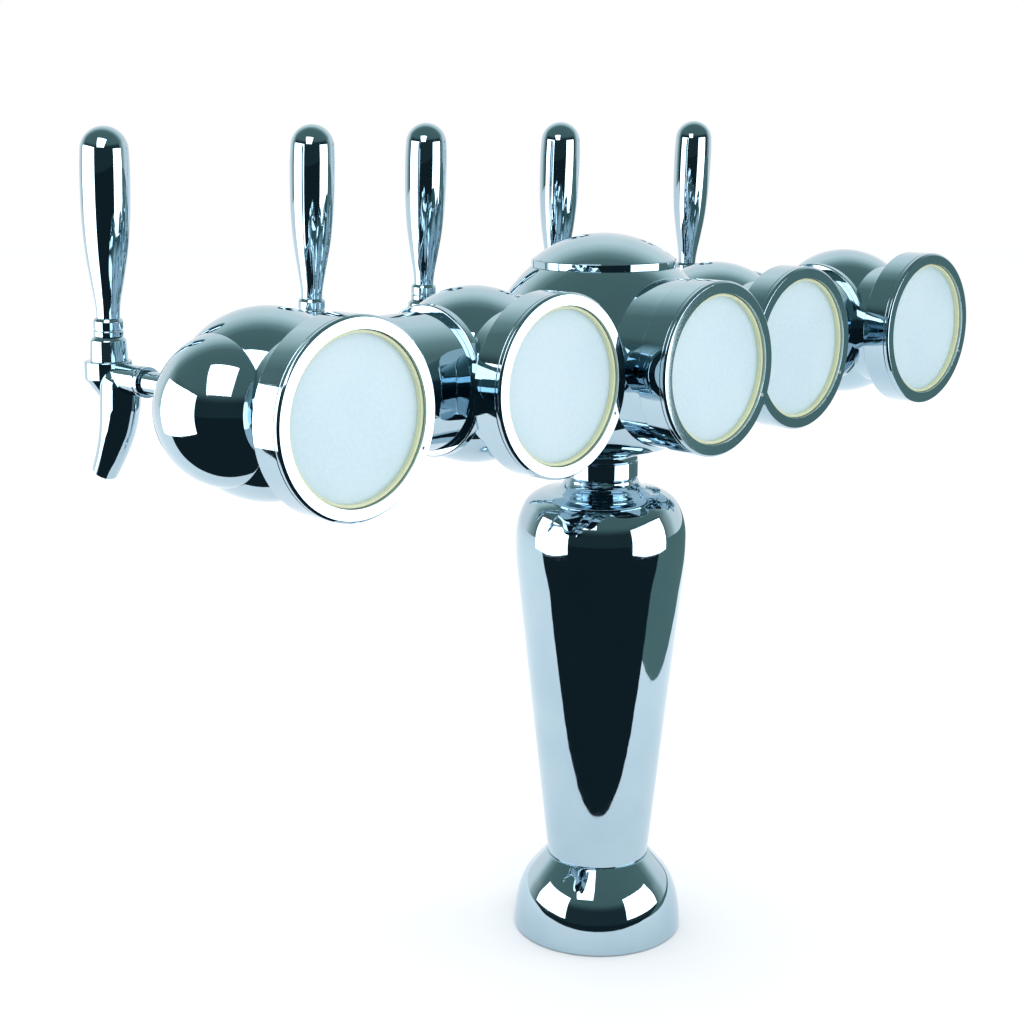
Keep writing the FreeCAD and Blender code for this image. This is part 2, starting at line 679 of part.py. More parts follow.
def beyond(start, end, distance, radius):
    """Station on the line from one station through another, past the second."""
    way = V(0, end[0] - start[0], end[1] - start[1]).normalize()
    return end[0] + way.y * distance, end[1] + way.z * distance, radius


def spout():
    """Tapering curved spout that grows out of a round elbow."""
    first, second = SPOUT_STATIONS[:2]
    y, z, radius = first
    way = V(0, second[0] - first[0], second[1] - first[1])
    centre = V(0, y, z)
    block = Part.makeCylinder(2 * radius, 2 * radius, centre, way)
    elbow = ball(radius, centre).cut(block)
    return elbow.fuse(spout_sections(SPOUT_STATIONS)).removeSplitter()


def spout_bore():
    """Bore from the valve chamber down to the mouth."""
    inner = [(y, z, SPOUT_BORE) for y, z, _ in SPOUT_STATIONS]
    top = beyond(inner[1], inner[0], BORE_ABOVE_ELBOW, SPOUT_BORE)
    mouth = beyond(inner[-2], inner[-1], 2.0, SPOUT_BORE)
    return spout_sections([top] + inner + [mouth])


def head_taper():
    """Slanted cone from the round head down to the spout."""
    low = Part.makeCircle(HEAD_TAPER_R, V(0, -4.0, HEAD_BOTTOM - HEAD_TAPER))
    high = Part.makeCircle(HEAD_R, V(0, HEAD_SHIFT, HEAD_BOTTOM))
    return Part.makeLoft([Part.Wire(low), Part.Wire(high)], True, True)


def tap_body(station):
    """Barrel, round head and spout in one casting, bored for the valve shaft."""
    barrel = to_back(rod(BARREL_R, -BARREL_BACK, BARREL_FRONT))
    head = move(rod(HEAD_R, HEAD_BOTTOM, HEAD_TOP), y=HEAD_SHIFT)
    body = head.fuse(head_taper()).fuse(barrel)
    body = body.fuse(spout())
    seat_front = SEAT_LENGTH - SEAT_BACK
    body = body.cut(to_back(rod(WASHER_R + WASHER_CLEARANCE, -BARREL_BACK - 1.0, -SEAT_BACK)))
    body = body.cut(to_back(rod(SEAT_R, -SEAT_BACK - 1.0, seat_front + 1.0)))
    body = body.cut(to_back(rod(VALVE_R + RUN_GAP, seat_front, GUIDE_FRONT + GUIDE_BLIND)))
    body = body.cut(rod(LEVER_HOLE_R, TIP_FLOOR, HEAD_TOP + 1.0))
    return tap_placed(body.cut(spout_bore()), station)


def tap_shank(station):
    """Hollow shank through the ball's back wall with a flange that seats on the ball."""
    r = body_radius(station)
    end = tap_reach(station) - BARREL_BACK
    start = inner_radius(station) - SHANK_INSIDE
    top = r + SHANK_FLANGE_HEIGHT
    flange_r = SHANK_R + SHANK_FLANGE_WIDTH
    flange = turned_polygon((0, r / 2), (flange_r, r / 2), (flange_r, r - 0.2),
                            (SHANK_R + 2.0, top), (0, top))
    pipe = rod(SHANK_R, start, end).fuse(flange.cut(ball(r)))
    pipe = pipe.cut(rod(SHANK_BORE, start - 1.0, end + 1.0))
    return placed(to_back(pipe.removeSplitter()), station)


def shank_nut(station):
    """Lock nut on the shank inside the ball."""
    return placed(to_back(lock_nut(SHANK_R, station)), station)


def coupling_nut(station):
    """Ring nut that draws the tap body onto the shank."""
    end = tap_reach(station) - BARREL_BACK
    start = end - COUPLING_LENGTH
    inner_edge = COUPLING_R - COUPLING_EDGE
    nut = turned_polygon(
        (SHANK_R, start), (inner_edge, start), (COUPLING_R, start + COUPLING_EDGE),
        (COUPLING_R, end - COUPLING_EDGE), (inner_edge, end), (SHANK_R, end))
    return placed(to_back(nut), station)


def valve_shaft(station):
    """Seat washer, rod and slotted guide; the lever's tip works in the slot."""
    washer = rod(WASHER_R, -SEAT_BACK - WASHER_LENGTH, -SEAT_BACK)
    stem = rod(VALVE_ROD_R, -SEAT_BACK - 1.0, -GUIDE_BACK + 1.0)
    guide = rod(VALVE_R, -GUIDE_BACK, GUIDE_FRONT)
    shaft = to_back(washer.fuse(stem).fuse(guide))
    tip_y = TIP_ARM * math.sin(math.radians(LEVER_LEAN))
    half = TIP_R + TIP_SLOT_GAP
    slot = slab(-VALVE_R, VALVE_R, tip_y - half, tip_y + half, TIP_FLOOR, VALVE_R + 1.0)
    return tap_placed(shaft.cut(slot).removeSplitter(), station)


# --- bonnet and lever, made about the lever pivot --------------------------------------------

def stem_slot():
    """Slot that the lever's stem sweeps in the bonnet, from closed to open."""
    half = LEVER_STEM_R + PART_GAP
    reach = BONNET_DOME_R + 5.0

    def side_of(degrees, side):
        a = math.radians(degrees)
        along = V(0, math.sin(a), math.cos(a))
        across = V(0, math.cos(a), -math.sin(a)) * (half * side)
        return across, across + along * reach

    near_a, far_a = side_of(-LEVER_LEAN, -1)
    near_b, far_b = side_of(LEVER_THROW - LEVER_LEAN, 1)
    outline = [V(-half, p.y, p.z) for p in (near_a, far_a, far_b, near_b, near_a)]
    return Part.Face(Part.makePolygon(outline)).extrude(V(2 * half, 0, 0))


def pin_rod(gap):
    half = BONNET_TOP_R - PIN_INSET
    return along_x(rod(PIN_R + gap, -half, half))


def dome_arc(radius, r_from, r_to):
    """Arc about the pivot between two distances from the lever's axis."""
    r_middle = (r_from + r_to) / 2
    return arc(*[(r, math.sqrt(radius ** 2 - r ** 2)) for r in (r_from, r_middle, r_to)])


def tap_bonnet(station):
    """Domed collar screwed on the tap's head; it holds the lever's ball and pin."""
    foot = HEAD_TOP - PIVOT_HEIGHT
    shoulder = math.sqrt(BONNET_DOME_R ** 2 - BONNET_TOP_R ** 2)
    edges = run((0, BONNET_DOME_R), (0, foot), (BONNET_FOOT_R, foot), (BONNET_TOP_R, shoulder))
    bonnet = turned(edges + dome_arc(BONNET_DOME_R, BONNET_TOP_R, 0))
    socket = BALL_JOINT_R + RUN_GAP
    bonnet = bonnet.cut(ball(socket)).cut(rod(socket, foot - 1.0, 0)).cut(stem_slot())
    return tap_placed(move(bonnet.cut(pin_rod(0)), z=PIVOT_HEIGHT), station)


def lever_pin(station):
    return tap_placed(move(pin_rod(0), z=PIVOT_HEIGHT), station)


def leaned(shape, station):
    """Lean a lever piece made about its pivot and put it on its tap."""
    return tap_placed(move(turn(shape, X_AXIS, LEVER_LEAN), z=PIVOT_HEIGHT), station)


def tap_lever(station):
    """Lever: driving tip, pivot ball, stem, ferrule that skirts the bonnet, stud."""
    skirt = BONNET_DOME_R + FERRULE_GAP
    stem_top = math.sqrt(skirt ** 2 - LEVER_STEM_R ** 2)
    skirt_end = math.sqrt(skirt ** 2 - FERRULE_R ** 2)
    stud_top = FERRULE_TOP + STUD_LENGTH
    edges = run((0, 0), (LEVER_STEM_R, 0), (LEVER_STEM_R, stem_top))
    edges += dome_arc(skirt, LEVER_STEM_R, FERRULE_R)
    edges += run((FERRULE_R, skirt_end), (FERRULE_R, FERRULE_TOP - FERRULE_EDGE),
                 (FERRULE_R - FERRULE_EDGE, FERRULE_TOP), (STUD_R, FERRULE_TOP),
                 (STUD_R, stud_top), (0, stud_top), (0, 0))
    lever = turned(edges).fuse(ball(BALL_JOINT_R)).fuse(rod(TIP_STEM_R, -TIP_ARM, 0))
    lever = lever.fuse(ball(TIP_R, V(0, 0, -TIP_ARM)))
    return leaned(lever.cut(pin_rod(RUN_GAP)), station)


def tap_handle(station):
    """Teardrop handle screwed on the lever's stud."""
    top = FERRULE_TOP + HANDLE_LENGTH
    crown_z = top - HANDLE_CROWN_R
    bore = STUD_R + RUN_GAP
    bore_top = FERRULE_TOP + STUD_LENGTH + 1.0
    tilt = math.radians(45)
    middle = (HANDLE_CROWN_R * math.cos(tilt), crown_z + HANDLE_CROWN_R * math.sin(tilt))
    foot = (HANDLE_FOOT_R, FERRULE_TOP)
    body = [(r, FERRULE_TOP + height) for r, height in HANDLE_SHAPE]
    edges = curve([foot] + body + [(HANDLE_CROWN_R, crown_z)])
    edges += arc((HANDLE_CROWN_R, crown_z), middle, (0, top))
    edges += run((0, top), (0, bore_top), (bore, bore_top), (bore, FERRULE_TOP), foot)
    return leaned(turned(edges), station)


# --- hoses and wiring -----------------------------------------------------------------------

def route(points, bends):
    """Wire of straight runs joined by tangent arcs, one bend radius per inner point."""
    edges = []
    start = points[0]
    for before, corner, after, bend in zip(points, points[1:], points[2:], bends):
        arrive = (corner - before).normalize()
        leave = (after - corner).normalize()
        half_turn = arrive.getAngle(leave) / 2
        cut = bend * math.tan(half_turn)
        a = corner - arrive * cut
        b = corner + leave * cut
        inward = (leave - arrive).normalize()
        middle = corner + inward * (bend / math.cos(half_turn) - bend)
        edges.append(Part.makeLine(start, a))
        edges.append(Part.Arc(a, middle, b).toShape())
        start = b
    edges.append(Part.makeLine(start, points[-1]))
    return Part.Wire(edges)


def pipe_along(wire, radius, bore):
    start = wire.Edges[0]
    direction = start.tangentAt(start.FirstParameter)
    place = wire.OrderedVertexes[0].Point
    outer, inner = [Part.Wire(Part.makeCircle(r, place, direction)) for r in (radius, bore)]
    return wire.makePipeShell([outer], True, False).cut(wire.makePipeShell([inner], True, False))


def hose_place(station):
    """Where a station's hose stands in the mast: the five share a circle."""
    angle = {1: 234, 2: 162, 3: 90, 4: 18, 5: 306}[station]
    a = math.radians(angle)
    return HOSE_CIRCLE * math.cos(a), HOSE_CIRCLE * math.sin(a)


def beer_hose(station):
    """Hose from the inner end of a shank along the bar and down through the mast."""
    x0 = STATIONS[station - 1]
    x1, y1 = hose_place(station)
    tail = inner_radius(station) - SHANK_INSIDE
    points = [V(x0, tail, BAR_HEIGHT), V(x0, y1, BAR_HEIGHT), V(x1, y1, BAR_HEIGHT),
              V(x1, y1, HOSE_END)]
    bends = [HOSE_BEND, HOSE_DOWN_BEND]
    if station == CENTRE:
        points.pop(1)
        bends.pop(0)
    return pipe_along(route(points, bends), HOSE_R, HOSE_BORE)


def led_loom():
    """Cable along the bar with a branch into every medallion and a lead down the mast."""
    z = BAR_HEIGHT + LOOM_HEIGHT
    length = STATIONS[-1] - STATIONS[0]
    loom = move(along_x(rod(LOOM_R, 0, length)), x=STATIONS[0], z=z)
    for station in range(1, 6):
        x = STATIONS[station - 1]
        drop_y = inner_radius(station) - STEM_REACH - LOOM_CLEAR
        pieces = [move(rod(LOOM_R, BAR_HEIGHT, z), x=x, y=-drop_y),
                  move(to_front(rod(LOOM_R, 0, drop_y)), x=x, z=z),
                  move(to_front(rod(LOOM_R, drop_y, board_back(station))), x=x, z=BAR_HEIGHT)]
        pieces += [ball(LOOM_R, V(x, y, h)) for y, h in
                   ((0, z), (-drop_y, z), (-drop_y, BAR_HEIGHT))]
        for piece in pieces:
            loom = loom.fuse(piece)
    return loom.fuse(rod(LOOM_R, HOSE_END, z)).removeSplitter()


# --- all nodes --------------------------------------------------------------------------------

def write_frame():
    for make in (base_flange, base_gasket, mounting_plate, mast_tube, mast_nut, column,
                 neck_ring, neck_socket, centre_body, dome_ring, dome_cap):
        write(make.__name__, make())


def write_arms():
    seat = PORT + COLLAR_WIDTH
    for station in BALL_STATIONS:
        write(f"station_body_{station}", station_body(station))
    write("arm_tube_1_2", arm_tube(STATIONS[0] + seat, STATIONS[1] - seat))
    write("arm_tube_2_3", arm_tube(STATIONS[1] + seat, -CENTRE_PORT))
    write("arm_tube_3_4", arm_tube(CENTRE_PORT, STATIONS[3] - seat))
    write("arm_tube_4_5", arm_tube(STATIONS[3] + seat, STATIONS[4] - seat))
    ports = ((1, 1), (2, -1), (2, 1), (4, -1), (4, 1), (5, -1))
    write("arm_collars", *[arm_collar(station, side) for station, side in ports])
    write("end_cap_1", end_cap(1, -1))
    write("end_cap_5", end_cap(5, 1))


def write_stations():
    for make in (medallion_housing, tap_body, tap_lever, tap_handle, valve_shaft):
        for station in range(1, 6):
            write(f"{make.__name__}_{station}", make(station))


def write_groups():
    for make in (medallion_bezel, lens_seal, led_board, bezel_screw, stem_nut, tap_shank,
                 shank_nut, coupling_nut, tap_bonnet, lever_pin, beer_hose):
        write(f"{make.__name__}s", *[make(station) for station in range(1, 6)])
    write("medallion_lenses", *[medallion_lens(station) for station in range(1, 6)])
    write("led_loom", led_loom())


os.makedirs("parts", exist_ok=True)
write_frame()
write_arms()
write_stations()
write_groups()
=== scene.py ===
import math

import bmesh
import bpy
from mathutils import Matrix, Vector
from mathutils.geometry import interpolate_bezier


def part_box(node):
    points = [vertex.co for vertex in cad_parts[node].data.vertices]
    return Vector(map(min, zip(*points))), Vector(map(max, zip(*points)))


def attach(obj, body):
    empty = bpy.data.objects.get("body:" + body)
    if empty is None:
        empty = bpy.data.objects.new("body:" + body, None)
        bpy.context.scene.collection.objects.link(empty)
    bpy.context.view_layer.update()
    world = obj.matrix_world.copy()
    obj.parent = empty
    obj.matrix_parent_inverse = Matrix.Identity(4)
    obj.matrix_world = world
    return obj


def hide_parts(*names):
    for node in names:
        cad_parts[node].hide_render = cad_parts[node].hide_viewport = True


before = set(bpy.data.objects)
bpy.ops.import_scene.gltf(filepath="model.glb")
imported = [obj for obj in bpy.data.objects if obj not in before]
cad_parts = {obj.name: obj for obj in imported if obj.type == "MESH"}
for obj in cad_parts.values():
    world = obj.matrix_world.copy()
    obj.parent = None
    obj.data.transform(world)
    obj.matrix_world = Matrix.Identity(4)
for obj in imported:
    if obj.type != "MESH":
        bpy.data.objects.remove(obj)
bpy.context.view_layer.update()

bl_info = {
    "name": "Beer Tap Tower",
    "version": (1, 0, 0),
    "blender": (4, 5, 0),
    "location": "3D View > Sidebar > Tap Tower",
    "description": "Turned, plated and lit pieces of a five-way beer tap tower",
    "category": "Object",
}

MM = 0.001
STATIONS = (1, 2, 3, 4, 5)
CENTRE = 3
BALL_STATIONS = (1, 2, 4, 5)


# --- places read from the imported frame, in millimetres ---------------------------------------

def low(node):
    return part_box(node)[0] / MM


def high(node):
    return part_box(node)[1] / MM


def middle(node):
    return (low(node) + high(node)) / 2


BARREL = 28.0  # tap barrel, from its seat on the shank to the lever's axis
BAR = middle("arm_tube_1_2").z
TUBE_R = high("arm_tube_1_2").z - BAR
STATION_X = {n: middle(f"medallion_housing_{n}").x for n in STATIONS}
BALL_R = high("station_body_2").z - BAR
PORT = high("station_body_2").x - STATION_X[2]
COLLAR_R = high("arm_collars").z - BAR
CENTRE_PORT = low("arm_tube_3_4").x
CENTRE_R = math.hypot(CENTRE_PORT, TUBE_R)
CENTRE_TOP = high("centre_body").z - BAR
CENTRE_FOOT = low("centre_body").z - BAR
RIM_R = high("medallion_housing_2").z - BAR
TAP_Y = {n: low(f"tap_body_{n}").y + BARREL for n in STATIONS}


def ball_radius(station):
    return CENTRE_R if station == CENTRE else BALL_R


def rim_front(station):
    return -low(f"medallion_housing_{station}").y


# --- sizes that several pieces share, in millimetres ------------------------------------------

MAST_BORE = 18.1  # way for the mast through the column, neck and centre ball
RIM_DEPTH = 19.0  # medallion, from the back of its rim to its face
BEZEL_LIP = 3.2  # face ring in front of the cup
BEZEL_BORE = 43.0
PANE_R = RIM_R - 5.0  # lens, and the seal in front of it
PANE_SUNK = 1.6  # lens behind the cup's edge
SHANK_R = 6.5
SHANK_BORE = 3.5
PIVOT = 13.0  # lever's pivot above the bar's axis


# --- modelling helpers; outlines are in millimetres -------------------------------------------

UP = Matrix.Identity(4)
FRONT = Matrix.Rotation(math.radians(90), 4, "X")
BACK = Matrix.Rotation(math.radians(-90), 4, "X")
RIGHT = Matrix.Rotation(math.radians(90), 4, "Y")
LEFT = Matrix.Rotation(math.radians(-90), 4, "Y")
SHARP = math.radians(26)  # corners beyond this angle are rounded
CRISP = SHARP * 1.4  # edges beyond this one are shaded crisp
WELD = 1e-4
# faces around a turned piece
FINE_TURN = 128
SMALL_TURN = 64
BALL_TURN = 160
FACE_TURN = 192
TAP_TURN = 96
PIN_TURN = 32
SCREW_TURN = 24


def shift(x=0.0, y=0.0, z=0.0):
    return Matrix.Translation((x, y, z))


def at_station(station, way=UP):
    return shift(STATION_X[station], 0, BAR) @ way


def at_tap(station, way=UP):
    return shift(STATION_X[station], TAP_Y[station], BAR) @ way


class Outline:
    """Edge chain in the plane of radius and height, from which a piece is turned."""

    def __init__(self, radius, height):
        self.mesh = bmesh.new()
        self.first = self.mesh.verts.new((radius, 0, height))
        self.pen = self.first

    def line(self, *points):
        for radius, height in points:
            vert = self.mesh.verts.new((radius, 0, height))
            self.mesh.edges.new((self.pen, vert))
            self.pen = vert
        return self

    def arc(self, centre, degrees, steps=24):
        pivot = (centre[0], 0, centre[1])
        swept = bmesh.ops.spin(self.mesh, geom=[self.pen], cent=pivot, axis=(0, -1, 0),
                               angle=math.radians(degrees), steps=steps)
        self.pen = next(v for v in swept["geom_last"] if isinstance(v, bmesh.types.BMVert))
        return self

    def curve(self, points, leave=None, arrive=None, steps=10, relax=8):
        """Smooth chain through the points; leave and arrive are directions at its ends."""
        knots = [self.pen.co.copy()] + [Vector((r, 0, h)) for r, h in points]
        spans = [b - a for a, b in zip(knots, knots[1:])]
        ways = [Vector((leave[0], 0, leave[1])) if leave else spans[0]]
        for before, after in zip(spans, spans[1:]):
            ways.append(before.normalized() * after.length + after.normalized() * before.length)
        ways.append(Vector((arrive[0], 0, arrive[1])) if arrive else spans[-1])
        relaxed = []
        for i, span in enumerate(spans):
            reach = span.length / 3
            a, b = knots[i], knots[i + 1]
            bend_a = a + ways[i].normalized() * reach
            bend_b = b - ways[i + 1].normalized() * reach
            for co in interpolate_bezier(a, bend_a, bend_b, b, steps + 1)[1:]:
                self.line((co.x, co.z))
                relaxed.append(self.pen)
        for _ in range(relax):
            bmesh.ops.smooth_vert(self.mesh, verts=relaxed[:-1], factor=0.5,
                                  use_axis_x=True, use_axis_z=True)
        return self

    def close(self):
        self.mesh.edges.new((self.pen, self.first))
        return self

    def turn(self, edge=0.5, steps=FINE_TURN):
        """Closed shape turned about the axis with its corners softened."""
        mesh = self.mesh
        bmesh.ops.spin(mesh, geom=mesh.verts[:] + mesh.edges[:], cent=(0, 0, 0),
                       axis=(0, 0, 1), angle=math.tau, steps=steps, use_merge=True)
        bmesh.ops.remove_doubles(mesh, verts=mesh.verts[:], dist=WELD)
        bmesh.ops.recalc_face_normals(mesh, faces=mesh.faces[:])
        return softened(mesh, edge)


def softened(mesh, width, segments=3, angle=SHARP):
    """Small rounds on every corner sharper than the given angle."""
    if width:
        corners = [e for e in mesh.edges if len(e.link_faces) == 2
                   and e.calc_face_angle() > angle]
        bmesh.ops.bevel(mesh, geom=corners, offset=width, offset_type="OFFSET",
                        segments=segments, profile=0.5, affect="EDGES",
                        clamp_overlap=True, material=-1)
    return mesh


def rod(radius, z0, z1, steps=SMALL_TURN, edge=0.0):
    return Outline(0, z0).line((radius, z0), (radius, z1), (0, z1)).turn(edge, steps)


def tube(r_in, r_out, z0, z1, edge=0.4, steps=FINE_TURN):
    outline = Outline(r_in, z0).line((r_out, z0), (r_out, z1), (r_in, z1)).close()
    return outline.turn(edge, steps)


def placed(mesh, matrix):
    bmesh.ops.transform(mesh, matrix=matrix, verts=mesh.verts[:])
    return mesh


def linked_object(name, mesh):
    """Object in the scene from a bmesh, which is used up."""
    data = bpy.data.meshes.new(name)
    mesh.to_mesh(data)
    mesh.free()
    made = bpy.data.objects.new(name, data)
    bpy.context.scene.collection.objects.link(made)
    return made


def combined(base, tool, operation):
    """Closed shape with another one joined on (UNION) or taken away (DIFFERENCE)."""
    kept, other = linked_object("scratch", base), linked_object("scratch", tool)
    step = kept.modifiers.new("combine", "BOOLEAN")
    step.object = other
    step.operation = operation
    step.solver = "EXACT"
    result = bmesh.new()
    result.from_object(kept, bpy.context.evaluated_depsgraph_get())
    for used in (kept, other):
        data = used.data
        bpy.data.objects.remove(used)
        bpy.data.meshes.remove(data)
    if not result.verts:
        raise RuntimeError("a shape vanished while it was being combined")
    bmesh.ops.remove_doubles(result, verts=result.verts[:], dist=WELD)
    return result


def gathered(meshes):
    """One bmesh that holds several separate shapes."""
    whole = bmesh.new()
    for mesh in meshes:
        data = bpy.data.meshes.new("part")
        mesh.to_mesh(data)
        mesh.free()
        whole.from_mesh(data)
        bpy.data.meshes.remove(data)
    return whole


def piece(name, mesh, material, body, slot, *nodes):
    """Finished piece: metres, smooth faces, crisp corners, riding on its body."""
    placed(mesh, Matrix.Scale(MM, 4))
    for face in mesh.faces:
        face.smooth = True
    for edge in mesh.edges:
        edge.smooth = len(edge.link_faces) == 2 and edge.calc_face_angle() < CRISP
    made = linked_object(name, mesh)
    weigh = made.modifiers.new("even shading", "WEIGHTED_NORMAL")
    weigh.keep_sharp = True
    weigh.weight = 50
    made.data.materials.append(material)
    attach(made, body)
    if nodes:
        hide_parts(*nodes)
    return made


def chrome_piece(name, mesh, *nodes, finish="chrome"):
    """Plated piece of the tower itself."""
    return piece(name, mesh, stuff(finish), "tower", "polished_chrome", *nodes)


# --- node groups ----------------------------------------------------------------------------

VECTOR, COLOUR, NUMBER = "NodeSocketVector", "NodeSocketColor", "NodeSocketFloat"


def effect(name, inputs):
    """Empty node group for a surface; returns it with its two end nodes."""
    group = bpy.data.node_groups.new(name, "ShaderNodeTree")
    for label, kind, default in inputs:
        socket = group.interface.new_socket(label, in_out="INPUT", socket_type=kind)
        if default is not None:
            socket.default_value = default
    for label, kind in (("Color", COLOUR), ("Roughness", NUMBER), ("Height", NUMBER)):
        group.interface.new_socket(label, in_out="OUTPUT", socket_type=kind)
    return group, group.nodes.new("NodeGroupInput"), group.nodes.new("NodeGroupOutput")


def fill(shader, values):
    for label, value in values.items():
        shader.inputs[label].default_value = value


def put_out(group, result, *values):
    for socket, value in zip(result.inputs, values):
        group.links.new(value, socket)
    return group


def noise(tree, vector, scale, detail=3.0, roughness=0.5):
    made = tree.nodes.new("ShaderNodeTexNoise")
    fill(made, {"Scale": scale, "Detail": detail, "Roughness": roughness})
    tree.links.new(vector, made.inputs["Vector"])
    return made.outputs["Fac"]


def ramp(tree, value, start, end, low_value=0.0, high_value=1.0):
    made = tree.nodes.new("ShaderNodeMapRange")
    made.interpolation_type = "SMOOTHSTEP"
    fill(made, {"From Min": start, "From Max": end, "To Min": low_value, "To Max": high_value})
    tree.links.new(value, made.inputs["Value"])
    return made.outputs["Result"]


def maths(tree, operation, a, b):
    made = tree.nodes.new("ShaderNodeMath")
    made.operation = operation
    for socket, value in zip(made.inputs, (a, b)):
        if isinstance(value, (int, float)):
            socket.default_value = value
        else:
            tree.links.new(value, socket)
    return made.outputs[0]


def mixed(tree, factor, a, b):
    made = tree.nodes.new("ShaderNodeMix")
    made.data_type = "RGBA"
    colours = [s for s in made.inputs if s.type == "RGBA"]
    tree.links.new(factor, made.inputs["Factor"])
    for socket, value in zip(colours, (a, b)):
        if isinstance(value, bpy.types.NodeSocket):
            tree.links.new(value, socket)
        else:
            socket.default_value = (*value[:3], 1.0)
    return next(s for s in made.outputs if s.type == "RGBA")


def stretched(tree, vector, scale):
    made = tree.nodes.new("ShaderNodeMapping")
    made.inputs["Scale"].default_value = scale
    tree.links.new(vector, made.inputs["Vector"])
    return made.outputs["Vector"]


def plating_effect():
    """Electroplated metal: faint ripple, hairline wipe marks, dull handling smudges."""
    group, given, result = effect("plating", [
        ("Vector", VECTOR, None), ("Bright", COLOUR, None), ("Deep", COLOUR, None),
        ("Polish", NUMBER, 0.04), ("Smudge", NUMBER, 0.06), ("Ripple", NUMBER, 1.0)])
    place = given.outputs["Vector"]
    cloud = noise(group, place, 26.0, 4.0)
    smear = noise(group, stretched(group, place, (60, 60, 190)), 1.0, 5.0, 0.6)
    dull = maths(group, "MULTIPLY", ramp(group, cloud, 0.45, 0.75), ramp(group, smear, 0.4, 0.7))
    hairs = noise(group, stretched(group, place, (500, 500, 5200)), 1.0, 2.0)
    hairs = ramp(group, hairs, 0.62, 0.74)
    added = maths(group, "MULTIPLY", dull, given.outputs["Smudge"])
    rough = maths(group, "ADD", given.outputs["Polish"], added)
    rough = maths(group, "ADD", rough, maths(group, "MULTIPLY", hairs, 0.02))
    ripple = maths(group, "MULTIPLY", noise(group, place, 34.0, 2.0), given.outputs["Ripple"])
    height = maths(group, "ADD", ripple, maths(group, "MULTIPLY", hairs, 0.006))
    tone = mixed(group, ramp(group, cloud, 0.3, 0.7), given.outputs["Bright"],
                 given.outputs["Deep"])
    return put_out(group, result, tone, rough, height)


def grain_effect():
    """Fine grain, blotches and scuffs for moulded, cast and rubber surfaces."""
    group, given, result = effect("grain", [
        ("Vector", VECTOR, None), ("Light", COLOUR, None), ("Dark", COLOUR, None),
        ("Scale", NUMBER, 900.0), ("Base Roughness", NUMBER, 0.5), ("Scuff", NUMBER, 0.2)])
    place = given.outputs["Vector"]
    grain = group.nodes.new("ShaderNodeTexNoise")
    grain.inputs["Detail"].default_value = 4.0
    group.links.new(place, grain.inputs["Vector"])
    group.links.new(given.outputs["Scale"], grain.inputs["Scale"])
    blotch = noise(group, place, 45.0, 4.0, 0.6)
    scuff = ramp(group, noise(group, stretched(group, place, (90, 700, 200)), 1.0, 3.0), 0.58, 0.7)
    tone = mixed(group, ramp(group, blotch, 0.3, 0.7), given.outputs["Light"],
                 given.outputs["Dark"])
    rough = maths(group, "ADD", given.outputs["Base Roughness"],
                  maths(group, "MULTIPLY", scuff, given.outputs["Scuff"]))
    return put_out(group, result, tone, rough, grain.outputs["Fac"])


# --- materials --------------------------------------------------------------------------------

def blank(name):
    material = bpy.data.materials.new(name)
    material.use_nodes = True
    tree = material.node_tree
    surface = tree.nodes["Principled BSDF"]
    place = tree.nodes.new("ShaderNodeTexCoord").outputs["Object"]
    return material, tree, surface, place


def bumped(tree, surface, height, strength, depth):
    """Feed a height into the surface's normal; depth is in metres."""
    bump = tree.nodes.new("ShaderNodeBump")
    fill(bump, {"Strength": strength, "Distance": depth})
    tree.links.new(height, bump.inputs["Height"])
    tree.links.new(bump.outputs["Normal"], surface.inputs["Normal"])


def dressed(name, effect_name, values, metal, bump, depth):
    """Material whose colour, roughness and height come from one of the effects."""
    material, tree, surface, place = blank(name)
    group = tree.nodes.new("ShaderNodeGroup")
    group.node_tree = bpy.data.node_groups[effect_name]
    tree.links.new(place, group.inputs["Vector"])
    fill(group, values)
    fill(surface, {"Metallic": metal})
    tree.links.new(group.outputs["Color"], surface.inputs["Base Color"])
    tree.links.new(group.outputs["Roughness"], surface.inputs["Roughness"])
    bumped(tree, surface, group.outputs["Height"], bump, depth)
    return material


def plated(name, bright, deep, polish=0.03, smudge=0.05, ripple=1.0, bump=0.35):
    values = {"Bright": (*bright, 1), "Deep": (*deep, 1), "Polish": polish, "Smudge": smudge,
              "Ripple": ripple}
    return dressed(name, "plating", values, metal=1.0, bump=bump, depth=0.0004)


def grained(name, light, dark, scale=900.0, rough=0.5, scuff=0.2, metal=0.0, bump=0.2):
    values = {"Light": (*light, 1), "Dark": (*dark, 1), "Scale": scale, "Base Roughness": rough,
              "Scuff": scuff}
    return dressed(name, "grain", values, metal=metal, bump=bump, depth=0.0002)


FINE_DEPTH = 0.0001  # etched and machined marks, in metres


def etched_lens():
    """Etched acrylic with a faint even glow from the light behind it."""
    light, deep, sparkle = (0.47, 0.60, 0.66), (0.43, 0.57, 0.64), (0.55, 0.67, 0.71)
    material, tree, surface, place = blank("etched_acrylic")
    etch = noise(tree, place, 2600.0, 2.0)
    cloud = noise(tree, place, 18.0, 3.0)
    fine = noise(tree, place, 420.0, 4.0)
    tone = mixed(tree, ramp(tree, cloud, 0.3, 0.7), light, deep)
    tone = mixed(tree, ramp(tree, fine, 0.35, 0.65, 0.0, 0.25), tone, sparkle)
    tree.links.new(tone, surface.inputs["Base Color"])
    tree.links.new(tone, surface.inputs["Emission Color"])
    tree.links.new(ramp(tree, fine, 0.3, 0.7, 0.32, 0.46), surface.inputs["Roughness"])
    fill(surface, {"Emission Strength": 0.12, "Specular IOR Level": 0.2})
    bumped(tree, surface, etch, 0.08, FINE_DEPTH)
    return material


